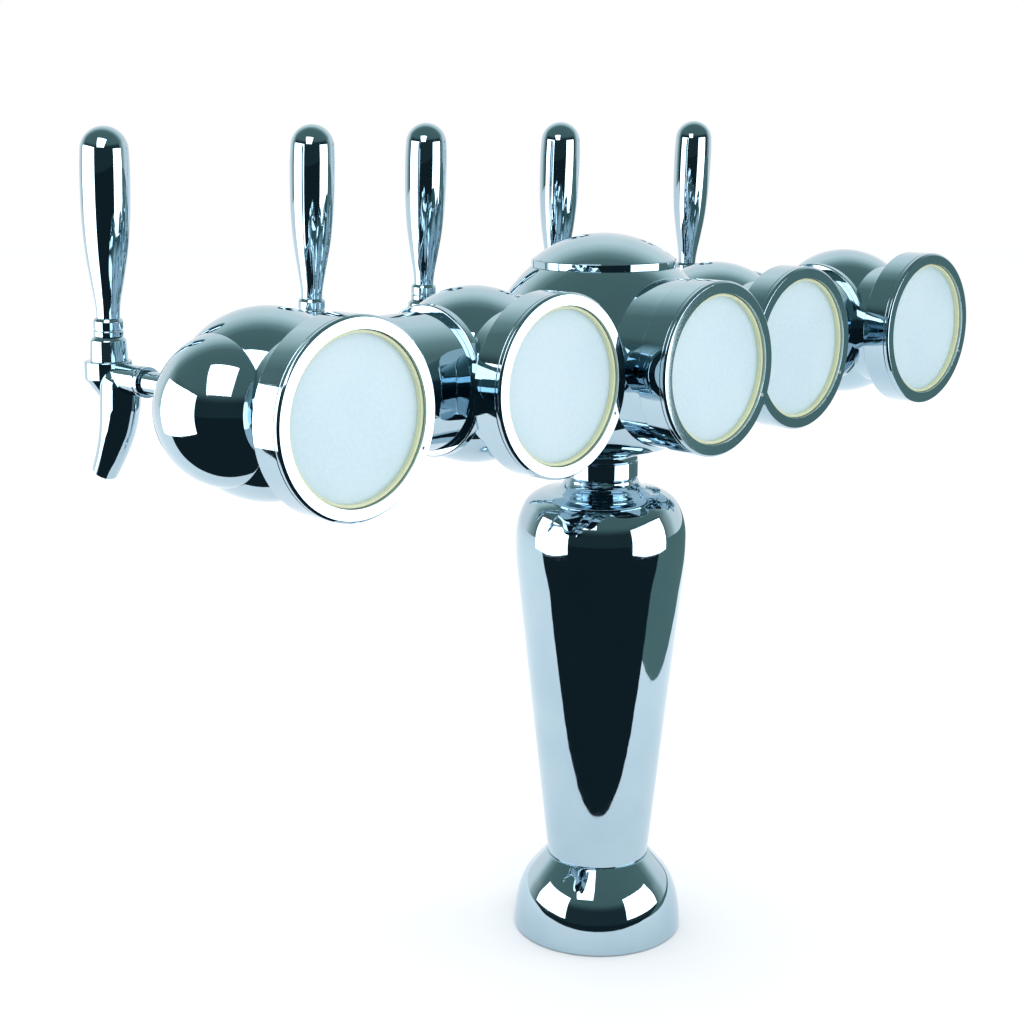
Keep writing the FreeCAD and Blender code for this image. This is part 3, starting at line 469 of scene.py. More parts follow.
def turned_steel():
    """Machined steel with close feed marks and a soft sheen."""
    light, dark = (0.56, 0.57, 0.58), (0.46, 0.47, 0.48)
    material, tree, surface, place = blank("turned_steel")
    feed = noise(tree, stretched(tree, place, (300, 300, 9000)), 1.0, 2.0)
    cloud = noise(tree, place, 70.0, 4.0)
    tone = mixed(tree, ramp(tree, cloud, 0.3, 0.7), light, dark)
    tree.links.new(tone, surface.inputs["Base Color"])
    tree.links.new(ramp(tree, feed, 0.2, 0.8, 0.22, 0.42), surface.inputs["Roughness"])
    fill(surface, {"Metallic": 1.0})
    bumped(tree, surface, feed, 0.15, FINE_DEPTH)
    return material


# --- settings a user would change --------------------------------------------------------------

class TowerSizes(bpy.types.PropertyGroup):
    edge_round: bpy.props.FloatProperty(
        name="Edge round", description="Round on the plated edges, in millimetres",
        default=0.5, min=0.1, max=1.5)
    bell_edge: bpy.props.FloatProperty(
        name="Foot edge", description="Upright edge of the bell-shaped foot, in millimetres",
        default=4.0, min=1.0, max=8.0)
    joint_line: bpy.props.FloatProperty(
        name="Joint line", description="Bevel at the joint lines of the neck, in millimetres",
        default=0.6, min=0.2, max=1.5)


def tone_setting(name, description, default):
    return bpy.props.FloatVectorProperty(name=name, description=description, default=default,
                                         subtype="COLOR", min=0.0, max=1.0)


class TowerFinishes(bpy.types.PropertyGroup):
    chrome_bright: tone_setting("Chrome, bright", "Brighter tone of the plating",
                                (0.46, 0.60, 0.68))
    chrome_deep: tone_setting("Chrome, deep", "Deeper tone of the plating", (0.42, 0.56, 0.65))
    seal_tone: tone_setting("Lens seal", "Colour of the ring around each lens",
                            (0.62, 0.68, 0.44))


class TowerStage(bpy.types.PropertyGroup):
    lens: bpy.props.FloatProperty(
        name="Lens", description="Focal length of the camera, in millimetres",
        default=63.44, min=20.0, max=200.0)
    heading: bpy.props.FloatProperty(
        name="Heading", description="Camera's heading from +Y towards +X", unit="ROTATION",
        default=math.radians(46.10))
    tilt: bpy.props.FloatProperty(
        name="Tilt", description="Camera's tilt below the horizon", unit="ROTATION",
        default=math.radians(12.60))
    eye: bpy.props.FloatVectorProperty(
        name="Eye", description="Camera's place", unit="LENGTH",
        default=(-0.8117, -0.7057, 0.5085))
    box_power: bpy.props.FloatProperty(
        name="Softbox", description="Brightness of the softboxes seen in the plating",
        default=4.0, min=0.0, max=20.0)


def sizes():
    return bpy.context.scene.tower_sizes


def finishes():
    return bpy.context.scene.tower_finishes


# --- operators ----------------------------------------------------------------------------------

GRAINED = {
    "black_rubber": {"light": (0.035, 0.036, 0.038), "dark": (0.02, 0.021, 0.022), "rough": 0.7},
    "hex_brass": {"light": (0.70, 0.52, 0.26), "dark": (0.58, 0.42, 0.20), "scale": 500.0,
                  "rough": 0.28, "metal": 1.0, "bump": 0.1},
    "drink_hose": {"light": (0.80, 0.83, 0.83), "dark": (0.72, 0.76, 0.76), "rough": 0.35,
                   "bump": 0.08},
    "white_board": {"light": (0.85, 0.87, 0.86), "dark": (0.78, 0.81, 0.80), "rough": 0.4},
    "cable_sheath": {"light": (0.04, 0.04, 0.042), "dark": (0.028, 0.028, 0.03), "rough": 0.5},
}
SEAL_SHADE = 0.92  # darker patches of the lens seal against its tone


class TOWER_OT_materials(bpy.types.Operator):
    """Make the plating, lens, steel, rubber and brass finishes"""
    bl_idname = "tower.materials"
    bl_label = "Finishes"

    def execute(self, context):
        plating_effect()
        grain_effect()
        tones = finishes()
        bright, deep, seal = [tuple(tone) for tone in
                              (tones.chrome_bright, tones.chrome_deep, tones.seal_tone)]
        plated("chrome", bright, deep)
        plated("chrome_face", bright, deep, polish=0.06, smudge=0.04, ripple=0.4)
        plated("chrome_small", bright, deep, ripple=0.5)
        etched_lens()
        turned_steel()
        grained("seal_ring", seal, tuple(c * SEAL_SHADE for c in seal), rough=0.42, bump=0.1)
        for name, look in GRAINED.items():
            grained(name, **look)
        return {"FINISHED"}


def stuff(name):
    return bpy.data.materials[name]


CARRIED = {
    "turned_steel": ("mounting_plate", "mast_tube", "mast_nut",
                     *(f"valve_shaft_{n}" for n in STATIONS)),
    "hex_brass": ("stem_nuts", "shank_nuts"),
    "drink_hose": ("beer_hoses",),
    "white_board": ("led_boards",),
    "cable_sheath": ("led_loom",),
}


class TOWER_OT_carried(bpy.types.Operator):
    """Finish the inner parts whose shapes are carried over as they are"""
    bl_idname = "tower.carried"
    bl_label = "Inner parts"

    def execute(self, context):
        for finish, names in CARRIED.items():
            for name in names:
                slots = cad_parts[name].material_slots
                if not slots:
                    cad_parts[name].data.materials.append(stuff(finish))
                for slot in slots:
                    slot.material = stuff(finish)
        return {"FINISHED"}


BELL_FLANK = ((0.6, 12.4), (2.6, 22.7), (7.0, 33.5), (13.4, 41.6))  # inside the rim, height
BELL_FOOTING = 15.5  # width of the face on the counter
BELL_VAULT = 23.0  # height of the hollow
BELL_NECK_WALL = 15.3  # from the mast to the outside of the neck
BELL_SEAT_WIDTH = 8.9  # flat on which the column stands
GASKET_WIDTH = 4.5


class TOWER_OT_foot(bpy.types.Operator):
    """Turn the bell-shaped foot and its gasket"""
    bl_idname = "tower.foot"
    bl_label = "Foot"

    def execute(self, context):
        base, rise = low("base_flange").z, high("base_flange").z
        rim = high("base_flange").x
        neck = high("mast_tube").x + BELL_NECK_WALL
        lip, web = 1.0, 4.0
        bell = Outline(rim - BELL_FOOTING, base)
        bell.line((rim, base), (rim, base + sizes().bell_edge))
        bell.curve([(rim - inset, z) for inset, z in BELL_FLANK] + [(neck, rise - lip)],
                   leave=(0, 1))
        bore = neck - BELL_SEAT_WIDTH
        bell.line((neck - lip, rise), (bore, rise), (bore, rise - web),
                  (rim - BELL_FOOTING, BELL_VAULT)).close()
        chrome_piece("bell_foot", bell.turn(sizes().edge_round), "base_flange")
        outer = high("base_gasket").x
        ring = tube(outer - GASKET_WIDTH, outer, low("base_gasket").z, high("base_gasket").z,
                    edge=0.3)
        piece("foot_gasket", ring, stuff("black_rubber"), "tower", "rubber", "base_gasket")
        return {"FINISHED"}


COLUMN_FOOT_R = 31.4
COLUMN_WALL = 3.0
COLUMN_SEAT = 12.0  # bore for the mast below the column's top
CONE_END = (2.4, 72.0)  # cone's upper end: inside the widest radius, below the top
CONE_WAY = (18.4, 170.3)
SHOULDER = ((0.0, 42.3), (0.7, 30.3), (3.3, 21.3), (7.3, 14.3), (14.2, 9.8), (22.2, 7.8),
            (27.6, 5.6))
NECK_EDGE = 0.15
FLARE_WAIST = 0.25  # share of the flare's width at half its height


class TOWER_OT_column(bpy.types.Operator):
    """Turn the tapered column and the two rings of its neck"""
    bl_idname = "tower.column"
    bl_label = "Column"

    def execute(self, context):
        foot, top = low("column").z, high("column").z
        wide = high("column").x
        neck = high("neck_ring").x
        line = sizes().joint_line
        body = Outline(COLUMN_FOOT_R - COLUMN_WALL, foot)
        body.line((COLUMN_FOOT_R, foot), (wide - CONE_END[0], top - CONE_END[1]))
        body.curve([(wide - inset, top - drop) for inset, drop in SHOULDER]
                   + [(neck, top - 2 * line)], leave=CONE_WAY, arrive=(-0.5, 3.0), steps=14)
        body.line((neck - line, top), (MAST_BORE, top), (MAST_BORE, top - COLUMN_SEAT)).close()
        chrome_piece("turned_column", body.turn(edge=0.3), "column")
        z0, z1 = low("neck_ring").z, high("neck_ring").z
        ring = Outline(MAST_BORE, z0).line(
            (neck - line, z0), (neck, z0 + line), (neck, z1 - line), (neck - line, z1),
            (MAST_BORE, z1)).close()
        chrome_piece("neck_band", ring.turn(NECK_EDGE), "neck_ring")
        z0, z1 = low("neck_socket").z, high("neck_socket").z
        wide = high("neck_socket").x
        waist = neck + FLARE_WAIST * (wide - neck)
        flare = Outline(MAST_BORE, z0).line((neck - line, z0), (neck, z0 + line))
        flare.curve([(waist, (z0 + line + z1) / 2), (wide, z1)], leave=(0, 1), arrive=(1, 1))
        flare.line((MAST_BORE, z1)).close()
        chrome_piece("neck_flare", flare.turn(NECK_EDGE), "neck_socket")
        return {"FINISHED"}


def sphere_angle(radius, height):
    return math.degrees(math.asin(height / radius))


def domed(edge_r, base, rise, steps):
    """Part of a sphere that stands on a flat base."""
    round_r = (edge_r ** 2 + rise ** 2) / (2 * rise)
    cap = Outline(0, base).line((edge_r, base))
    cap.arc((0, base + rise - round_r), sphere_angle(round_r, edge_r), steps)
    return cap.turn(edge=0.3)


CENTRE_EASE = 12.0  # round between the ball and its underside
CENTRE_LEDGE = 6.0  # flat around the sunk top
CENTRE_SUNK = 2.0  # depth of the sunk top
BAND_WIDTH = 8.0


class TOWER_OT_centre(bpy.types.Operator):
    """Shape the large centre ball, the band above it and the dome"""
    bl_idname = "tower.centre"
    bl_label = "Centre ball"

    def execute(self, context):
        r, top, foot = CENTRE_R, CENTRE_TOP, CENTRE_FOOT
        ledge = math.sqrt(r * r - top * top) - CENTRE_LEDGE
        under = sphere_angle(r - CENTRE_EASE, foot + CENTRE_EASE)
        hub = (r - CENTRE_EASE) * math.cos(math.radians(under))
        ball = Outline(0, foot).line((MAST_BORE, foot), (hub, foot))
        ball.arc((hub, foot + CENTRE_EASE), 90 + under, steps=12)
        ball.arc((0, 0), sphere_angle(r, top) - under, steps=72)
        ball.line((ledge, top), (ledge, top - CENTRE_SUNK), (0, top - CENTRE_SUNK))
        shell = ball.turn(edge=0.35, steps=BALL_TURN)
        for side in (-1, 1):
            cut = bmesh.ops.bisect_plane(
                shell, geom=shell.verts[:] + shell.edges[:] + shell.faces[:],
                plane_co=(side * CENTRE_PORT, 0, 0), plane_no=(side, 0, 0), clear_outer=True)
            rim = [e for e in cut["geom_cut"] if isinstance(e, bmesh.types.BMEdge)]
            bmesh.ops.holes_fill(shell, edges=rim, sides=0)
        chrome_piece("centre_ball", placed(shell, shift(z=BAR)), "centre_body")
        ring_r, ring_top = high("dome_ring").x, high("dome_ring").z
        band = tube(ring_r - BAND_WIDTH, ring_r, CENTRE_TOP + BAR, ring_top, edge=0.3)
        chrome_piece("dome_band", band, "dome_ring", finish="chrome_small")
        dome = domed(high("dome_cap").x, ring_top, high("dome_cap").z - ring_top, steps=48)
        chrome_piece("dome_shell", dome, "dome_cap")
        return {"FINISHED"}


BALL_SEAT = 6.0  # width of the flat at each port of a ball
PIPE_WALL = 2.0
COLLAR_WIDTH = 5.5
COLLAR_DEPTH = 4.0  # collar inside the tube's outer radius
COLLARS = ((1, RIGHT), (2, LEFT), (2, RIGHT), (4, LEFT), (4, RIGHT), (5, LEFT))


class TOWER_OT_bar(bpy.types.Operator):
    """Shape the station balls, tubes, collars and domed ends of the bar"""
    bl_idname = "tower.bar"
    bl_label = "Bar"

    def execute(self, context):
        half = math.degrees(math.acos(PORT / BALL_R))
        port_r = math.sqrt(BALL_R ** 2 - PORT ** 2)
        for n in BALL_STATIONS:
            ball = Outline(port_r - BALL_SEAT, -PORT).line((port_r, -PORT))
            ball.arc((0, 0), 180 - 2 * half, steps=96)
            ball.line((port_r - BALL_SEAT, PORT)).close()
            chrome_piece(f"station_ball_{n}", placed(ball.turn(edge=0.3), at_station(n, RIGHT)),
                         f"station_body_{n}")
        for name in ("1_2", "2_3", "3_4", "4_5"):
            x0, x1 = low(f"arm_tube_{name}").x, high(f"arm_tube_{name}").x
            pipe = tube(TUBE_R - PIPE_WALL, TUBE_R, x0, x1, edge=0.3, steps=BALL_TURN)
            chrome_piece(f"arm_pipe_{name}", placed(pipe, shift(z=BAR) @ RIGHT),
                         f"arm_tube_{name}")
        rings = [placed(tube(TUBE_R - COLLAR_DEPTH, COLLAR_R, PORT, PORT + COLLAR_WIDTH,
                             edge=1.0, steps=BALL_TURN), at_station(n, way))
                 for n, way in COLLARS]
        chrome_piece("collar_rings", gathered(rings), "arm_collars")
        bulge = STATION_X[1] - low("end_cap_1").x - PORT
        for n, way in ((1, LEFT), (5, RIGHT)):
            cap = domed(high("end_cap_1").z - BAR, PORT, bulge, steps=64)
            chrome_piece(f"bar_end_{n}", placed(cap, at_station(n, way)), f"end_cap_{n}")
        return {"FINISHED"}


NECK_INSET = 11.0  # cup's neck inside its rim, and the centre ball's wider neck
CENTRE_NECK_INSET = 1.0
CUP_WALL = 3.0
CUP_RIM_WALL = 3.2
STEM_HOLE_R = 3.5
SKIRT_INSET = 3.3  # face ring's skirt inside the cup's rim, its wall and length
SKIRT_WALL = 1.6
SKIRT_LENGTH = 6.0
FACE_CHAMFER = 1.1
SCREW_R = 1.2
SCREW_LENGTH = 2.6
SCREW_CLEAR = 0.05
SCREW_TO_BORE = 1.92  # screw's axis from the ring's opening
SCREW_AT = math.radians(-25)
SEAL_WIDTH = 1.8
SEAL_RISE = 1.5  # seal in front of the cup's edge
SEAL_CLEAR = 0.1
PANE_THICK = 3.0


def badge_cup(station):
    """Cup whose neck meets its ball and whose rim carries the face ring."""
    front = rim_front(station)
    back = front - (RIM_DEPTH - BEZEL_LIP)
    neck_r = RIM_R - (CENTRE_NECK_INSET if station == CENTRE else NECK_INSET)
    neck_in = neck_r - CUP_WALL
    rim_in = RIM_R - CUP_RIM_WALL
    foot, foot_in = [math.sqrt(ball_radius(station) ** 2 - r ** 2) for r in (neck_r, neck_in)]
    cup = Outline(STEM_HOLE_R, back).line(
        (neck_in, back), (neck_in, foot_in), (neck_r, foot), (neck_r, back), (RIM_R, back),
        (RIM_R, front), (rim_in, front), (rim_in, back + CUP_WALL),
        (STEM_HOLE_R, back + CUP_WALL)).close()
    return cup.turn(edge=0.6, steps=BALL_TURN)


def badge_face(front, spot):
    """Flat ring with a skirt that enters the cup and a hole for its screw."""
    face = front + BEZEL_LIP
    skirt = RIM_R - SKIRT_INSET
    skirt_in = skirt - SKIRT_WALL
    ring = Outline(BEZEL_BORE, front).line(
        (BEZEL_BORE, face), (RIM_R - FACE_CHAMFER, face), (RIM_R, face - FACE_CHAMFER),
        (RIM_R, front), (skirt, front), (skirt, front - SKIRT_LENGTH),
        (skirt_in, front - SKIRT_LENGTH), (skirt_in, front)).close()
    hole = rod(SCREW_R + SCREW_CLEAR, front - 1.0, face + 1.0, PIN_TURN)
    return combined(ring.turn(edge=0.25, steps=FACE_TURN), placed(hole, spot), "DIFFERENCE")


def badge_screw(face):
    """Set screw, flush with the face, with a small tapering socket."""
    socket_r, socket_foot_r, socket, socket_tip = 0.65, 0.5, 1.0, 1.1
    screw = Outline(0, face - SCREW_LENGTH).line(
        (SCREW_R, face - SCREW_LENGTH), (SCREW_R, face), (socket_r, face),
        (socket_foot_r, face - socket), (0, face - socket_tip))
    return screw.turn(edge=0.12, steps=SCREW_TURN)


def badge_seal(front):
    """Seal in front of the lens that shows as a thin line in the ring's opening."""
    inside, outside = BEZEL_BORE - SEAL_WIDTH, BEZEL_BORE - SEAL_CLEAR
    seal = Outline(inside, front - PANE_SUNK).line(
        (PANE_R, front - PANE_SUNK), (PANE_R, front), (outside, front),
        (outside, front + SEAL_RISE), (inside, front + SEAL_RISE)).close()
    return seal.turn(edge=0.35)


class TOWER_OT_badges(bpy.types.Operator):
    """Turn the lit medallions: cups, face rings, seals, lenses and grub screws"""
    bl_idname = "tower.badges"
    bl_label = "Medallions"

    def execute(self, context):
        faces, seals, lenses, screws = [], [], [], []
        spot = Matrix.Rotation(SCREW_AT, 4, "Z") @ shift(x=BEZEL_BORE + SCREW_TO_BORE)
        for n in STATIONS:
            front, place = rim_front(n), at_station(n, FRONT)
            chrome_piece(f"badge_cup_{n}", placed(badge_cup(n), place), f"medallion_housing_{n}")
            faces.append(placed(badge_face(front, spot), place))
            screws.append(placed(placed(badge_screw(front + BEZEL_LIP), spot), place))
            seals.append(placed(badge_seal(front), place))
            pane = front - PANE_SUNK
            lenses.append(placed(rod(PANE_R, pane - PANE_THICK, pane, FINE_TURN, edge=0.2), place))
        for name, shapes, finish, slot, node in (
                ("badge_faces", faces, "chrome_face", "bezel_chrome", "medallion_bezels"),
                ("badge_seals", seals, "seal_ring", "lens_seal", "lens_seals"),
                ("badge_panes", lenses, "etched_acrylic", "frosted_lens", "medallion_lenses"),
                ("badge_screws", screws, "turned_steel", "satin_steel", "bezel_screws")):
            piece(name, gathered(shapes), stuff(finish), "tower", slot, node)
        return {"FINISHED"}


SPAN_POINTS = 9  # points along each span of a horn
ROUND_TOP = range(85, 0, -7)  # degrees at which the horn's round top gets a section


def horn(sections, bore, depth, lip=0.8):
    """Curved tapering body through round sections, with a round top and a bored mouth."""
    points = [Vector((0, y, z)) for y, z, _ in sections]
    line, radii = [points[0]], [sections[0][2]]
    ways = [b - a for a, b in zip(points, points[1:])]
    tangents = [ways[0]] + [a + b for a, b in zip(ways, ways[1:])] + [ways[-1]]
    for i, way in enumerate(ways):
        reach = way.length / 3
        a, b = points[i], points[i + 1]
        run = interpolate_bezier(a, a + tangents[i].normalized() * reach,
                                 b - tangents[i + 1].normalized() * reach, b, SPAN_POINTS)[1:]
        for k, co in enumerate(run, 1):
            line.append(co)
            radii.append(sections[i][2] + (sections[i + 1][2] - sections[i][2]) * k / len(run))
    starts = [(points[0] - tangents[0].normalized() * radii[0] * math.sin(math.radians(a)),
               radii[0] * math.cos(math.radians(a))) for a in ROUND_TOP]
    centres = [c for c, _ in starts] + line
    radii = [r for _, r in starts] + radii
    inward = (points[-2] - points[-1]).normalized()
    centres += [points[-1], points[-1] + inward, points[-1] + inward * depth]
    radii += [bore + lip, bore, bore]
    directions = [tangents[0]] * len(starts)
    directions += [b - a for a, b in zip(line, line[1:])] + [ways[-1]]
    directions += [ways[-1]] * 3
    mesh = bmesh.new()
    frames = [shift(*c) @ d.to_track_quat("Z", "X").to_matrix().to_4x4() @ Matrix.Scale(r, 4)
              for c, d, r in zip(centres, directions, radii)]
    made = bmesh.ops.create_circle(mesh, cap_ends=False, segments=SMALL_TURN, radius=1.0,
                                   matrix=frames[0])
    ring = list({e for v in made["verts"] for e in v.link_edges})
    bmesh.ops.contextual_create(mesh, geom=ring)
    for before, after in zip(frames, frames[1:]):
        grown = bmesh.ops.extrude_edge_only(mesh, edges=ring)["geom"]
        verts = [v for v in grown if isinstance(v, bmesh.types.BMVert)]
        ring = [e for e in grown if isinstance(e, bmesh.types.BMEdge)]
        bmesh.ops.transform(mesh, matrix=after @ before.inverted(), verts=verts)
    bmesh.ops.contextual_create(mesh, geom=ring)
    bmesh.ops.recalc_face_normals(mesh, faces=mesh.faces[:])
    return mesh


# the spout's sections: y and z of the centre, radius
SPOUT = ((-9.7, -4.5, 11.2), (-8.3, -16.0, 11.0), (-4.7, -29.5, 10.0), (1.6, -42.5, 8.6),
         (9.3, -54.5, 7.3))
SPOUT_BORE = 4.8
SPOUT_BORE_DEPTH = 26.0
BARREL_R = 8.2
BARREL_AHEAD = 6.0  # barrel in front of the lever's axis
HEAD_R = 13.0
HEAD_FOOT, HEAD_TOP = -1.5, 8.6
HEAD_AHEAD = 1.2
TAPER_R, TAPER_TOP_R, TAPER_HEIGHT, TAPER_Z = 8.6, 12.9, 9.0, -5.7
TAPER_BEHIND = 4.0  # lower end of the taper behind the lever's axis


def tap_casting():
    """Barrel, round head and spout as one casting, about the point under the lever."""
    barrel = placed(rod(BARREL_R, -BARREL, BARREL_AHEAD, TAP_TURN, edge=0.4), BACK)
    head = Outline(0, HEAD_FOOT).line((HEAD_R, HEAD_FOOT), (HEAD_R, HEAD_TOP), (0, HEAD_TOP))
    head = head.turn(edge=0.7, steps=TAP_TURN)
    taper = bmesh.new()
    bmesh.ops.create_cone(taper, cap_ends=True, segments=TAP_TURN, radius1=TAPER_R,
                          radius2=TAPER_TOP_R, depth=TAPER_HEIGHT, matrix=shift(z=TAPER_Z))
    for vert in taper.verts:
        vert.co.y += HEAD_AHEAD if vert.co.z > TAPER_Z else -TAPER_BEHIND
    body = combined(placed(head, shift(y=HEAD_AHEAD)), taper, "UNION")
    body = combined(body, barrel, "UNION")
    return combined(body, horn(SPOUT, SPOUT_BORE, SPOUT_BORE_DEPTH), "UNION")


SHANK_INSIDE = 12.0  # shank's inner end below the surface of its ball
FLANGE_R = 13.0
FLANGE_SUNK, FLANGE_EDGE = 1.8, 0.2
FLANGE_HUB_R, FLANGE_HUB = 8.5, 5.0
NUT_R, NUT_LENGTH = 8.4, 8.0
GROOVE_R = 8.0
GROOVE = (5.4, 5.0, 4.4, 4.0)  # from the nut's end: its groove's edges and floor
BONNET_FOOT, BONNET_R = -4.4, 10.4
BONNET_TOP = (9.7, 7.06)  # radius and height where the bonnet's dome begins
SOCKET_R = 5.05  # seat of the lever's ball
SOCKET_MOUTH = (2.0, 5.0)
SLOT_CENTRE = (0.0, 2.9, 9.0)  # slot in which the lever tilts
SLOT_SIZE = (6.2, 12.4, 14.0)
PIN_R, PIN_REACH = 1.5, 9.2


def shank(station):
    """Threaded shank with a flange on its ball, up to the tap's barrel."""
    ball_r, end = ball_radius(station), TAP_Y[station] - BARREL
    hub = ball_r + FLANGE_HUB
    inner, sunk = ball_r - SHANK_INSIDE, ball_r - FLANGE_SUNK
    outline = Outline(SHANK_BORE, inner).line(
        (SHANK_R, inner), (SHANK_R, sunk), (FLANGE_R, sunk), (FLANGE_R, ball_r - FLANGE_EDGE),
        (FLANGE_HUB_R, hub), (SHANK_R, hub), (SHANK_R, end), (SHANK_BORE, end)).close()
    return outline.turn(edge=0.4, steps=TAP_TURN)


def ring_nut(end):
    """Grooved nut that ends at the tap's barrel."""
    lower, floor_low, floor_high, upper = [end - drop for drop in GROOVE]
    outline = Outline(SHANK_R, end - NUT_LENGTH).line(
        (NUT_R, end - NUT_LENGTH), (NUT_R, lower), (GROOVE_R, floor_low),
        (GROOVE_R, floor_high), (NUT_R, upper), (NUT_R, end), (SHANK_R, end)).close()
    return outline.turn(edge=0.3, steps=TAP_TURN)


def tap_bonnet():
    """Domed collar on the tap's head, slotted for the lever, about the pivot."""
    dome = Outline(SOCKET_R, BONNET_FOOT).line((BONNET_R, BONNET_FOOT), BONNET_TOP)
    dome.arc((0, 0), 38.0, steps=10)
    dome.line(SOCKET_MOUTH, (SOCKET_R, 0.0)).close()
    slot = bmesh.new()
    bmesh.ops.create_cube(slot, size=1.0,
                          matrix=shift(*SLOT_CENTRE) @ Matrix.Diagonal((*SLOT_SIZE, 1)))
    return combined(dome.turn(edge=0.3, steps=TAP_TURN), slot, "DIFFERENCE")


class TOWER_OT_taps(bpy.types.Operator):
    """Shape the tap castings, shanks, ring nuts and bonnets"""
    bl_idname = "tower.taps"
    bl_label = "Taps"

    def execute(self, context):
        casting = tap_casting()
        shanks, nuts, bonnets, pins = [], [], [], []
        for n in STATIONS:
            chrome_piece(f"tap_casting_{n}", placed(casting.copy(), at_tap(n)),
                         f"tap_body_{n}", finish="chrome_small")
            shanks.append(placed(shank(n), at_station(n, BACK)))
            nuts.append(placed(ring_nut(TAP_Y[n] - BARREL), at_station(n, BACK)))
            pivot = at_tap(n, shift(z=PIVOT))
            bonnets.append(placed(tap_bonnet(), pivot))
            pin = placed(rod(PIN_R, -PIN_REACH, PIN_REACH, PIN_TURN, edge=0.3), RIGHT)
            pins.append(placed(pin, pivot))
        casting.free()
        for name, shapes, node in (("shank_pipes", shanks, "tap_shanks"),
                                   ("shank_rings", nuts, "coupling_nuts"),
                                   ("tap_collars", bonnets, "tap_bonnets")):
            chrome_piece(name, gathered(shapes), node, finish="chrome_small")
        piece("pivot_pins", gathered(pins), stuff("turned_steel"), "tower", "satin_steel",
              "lever_pins")
        return {"FINISHED"}


LEAN = math.radians(2.5)  # closed lever, back from upright
# outlines about the lever's axis, as radius and height above the pivot
FINGER_END, FINGER_TIP = -11.4, -9.5  # lowest point, and centre of its round end
FINGER = ((1.5, -8.0), (1.5, -4.6))
PIVOT_BALL = ((4.2, -2.6), (5.0, 0), (4.2, 2.6), (2.8, 4.2), (2.8, 12.18))
FERRULE = ((5.5, 11.22), (8.1, 9.52), (8.1, 12.2), (7.7, 12.6), (7.7, 13.2), (8.1, 13.6),
           (8.1, 17.6), (7.4, 19.0))
STUD_R, STUD_TOP = 3.0, 31.0
HANDLE_FOOT, HANDLE_FOOT_R = 19.0, 6.3
HANDLE_BORE, HANDLE_BORE_TOP = 3.05, 32.0
GRIP = ((6.5, 24.0), (8.6, 37.0), (11.4, 54.5), (12.9, 72.0), (13.35, 88.0), (13.0, 109.3))


class TOWER_OT_levers(bpy.types.Operator):
    """Turn the levers and their teardrop handles, each riding on its own lever"""
    bl_idname = "tower.levers"
    bl_label = "Levers and handles"

    def execute(self, context):
        for n in STATIONS:
            place = at_tap(n, shift(z=PIVOT) @ Matrix.Rotation(LEAN, 4, "X"))
            lever = Outline(0, FINGER_END).arc((0, FINGER_TIP), 140, steps=8)
            lever.line(*FINGER, *PIVOT_BALL, *FERRULE, (STUD_R, HANDLE_FOOT), (STUD_R, STUD_TOP),
                       (0, STUD_TOP))
            piece(f"lever_stem_{n}", placed(lever.turn(edge=0.25, steps=TAP_TURN), place),
                  stuff("chrome_small"), f"lever_{n}", "lever_chrome", f"tap_lever_{n}")
            handle = Outline(HANDLE_BORE, HANDLE_FOOT).line((HANDLE_FOOT_R, HANDLE_FOOT))
            handle.curve(GRIP, leave=(0, 1), arrive=(-0.1, 1.0))
            handle.arc((0, GRIP[-1][1]), 90)
            handle.line((0, HANDLE_BORE_TOP), (HANDLE_BORE, HANDLE_BORE_TOP)).close()
            piece(f"lever_grip_{n}", placed(handle.turn(edge=0.3, steps=TAP_TURN), place),
                  stuff("chrome"), f"lever_{n}", "lever_chrome", f"tap_handle_{n}")
        return {"FINISHED"}


# --- stage; lengths in metres, directions in degrees from +X towards +Y ------------------------

WHITE = (1.0, 1.0, 1.0)
WORLD_LIGHT = (1.06, 1.07, 1.08)
CAMERA_SIDE = -139.3
# the room in the plating: colours from the side behind the camera (1) to the far side (-1),
# at the horizon and higher up
HORIZON = ((-1.0, WHITE), (-0.6, WHITE), (-0.52, (0.90, 0.97, 0.95)),
           (-0.38, (0.50, 0.58, 0.56)), (-0.22, (0.28, 0.35, 0.34)), (-0.10, (0.10, 0.15, 0.15)),
           (0.0, (0.02, 0.04, 0.045)), (1.0, (0.02, 0.04, 0.045)))
SKY = ((-1.0, (0.96, 1.0, 1.0)), (-0.7, (0.90, 0.99, 0.97)), (-0.52, (0.58, 0.70, 0.67)),
       (-0.38, (0.27, 0.39, 0.37)), (-0.22, (0.14, 0.22, 0.21)), (0.0, (0.12, 0.20, 0.19)),
       (1.0, (0.10, 0.17, 0.165)))
SKY_FROM, SKY_FULL = 0.28, 0.52  # heights in the view direction between horizon and sky
FLOOR_R = 6.0
FLOOR_TONE = (0.93, 0.94, 0.95)
# softboxes: direction, elevation, distance across the floor, centre, width, height
SOFTBOXES = {
    "softbox_left": (152, 0, 0.85, (0, 0, 0.36), 0.82, 0.58),
    "softbox_right": (-71, 0, 0.85, (0, 0, 0.36), 0.83, 0.58),
    "softbox_over": (-148, 52, 0.37, (-0.31, 0, 0.83), 0.40, 0.50),
}
# flags that lie on the floor: direction, distance of the near edge, height, width, tone
FLAGS = {
    "flag_front": (CAMERA_SIDE, 0.152, 0.004, 12.0, "black_flag", (0.010, 0.020, 0.026)),
    "flag_side": (-52.6, 0.376, 0.002, 6.0, "dusk_flag", (0.13, 0.22, 0.21)),
}
FLAG_DEPTH = 6.0
SENSOR = 36.0  # camera's sensor width, in millimetres
# lamps: place, size, power in watts
LAMPS = {"key": ((-1.6, -2.2, 2.4), 1.6, 12), "fill": ((1.8, -1.4, 2.0), 1.6, 8),
         "top": ((0, 0.6, 2.6), 2.0, 10)}
LAMP_AIM = Vector((0, 0, 0.3))


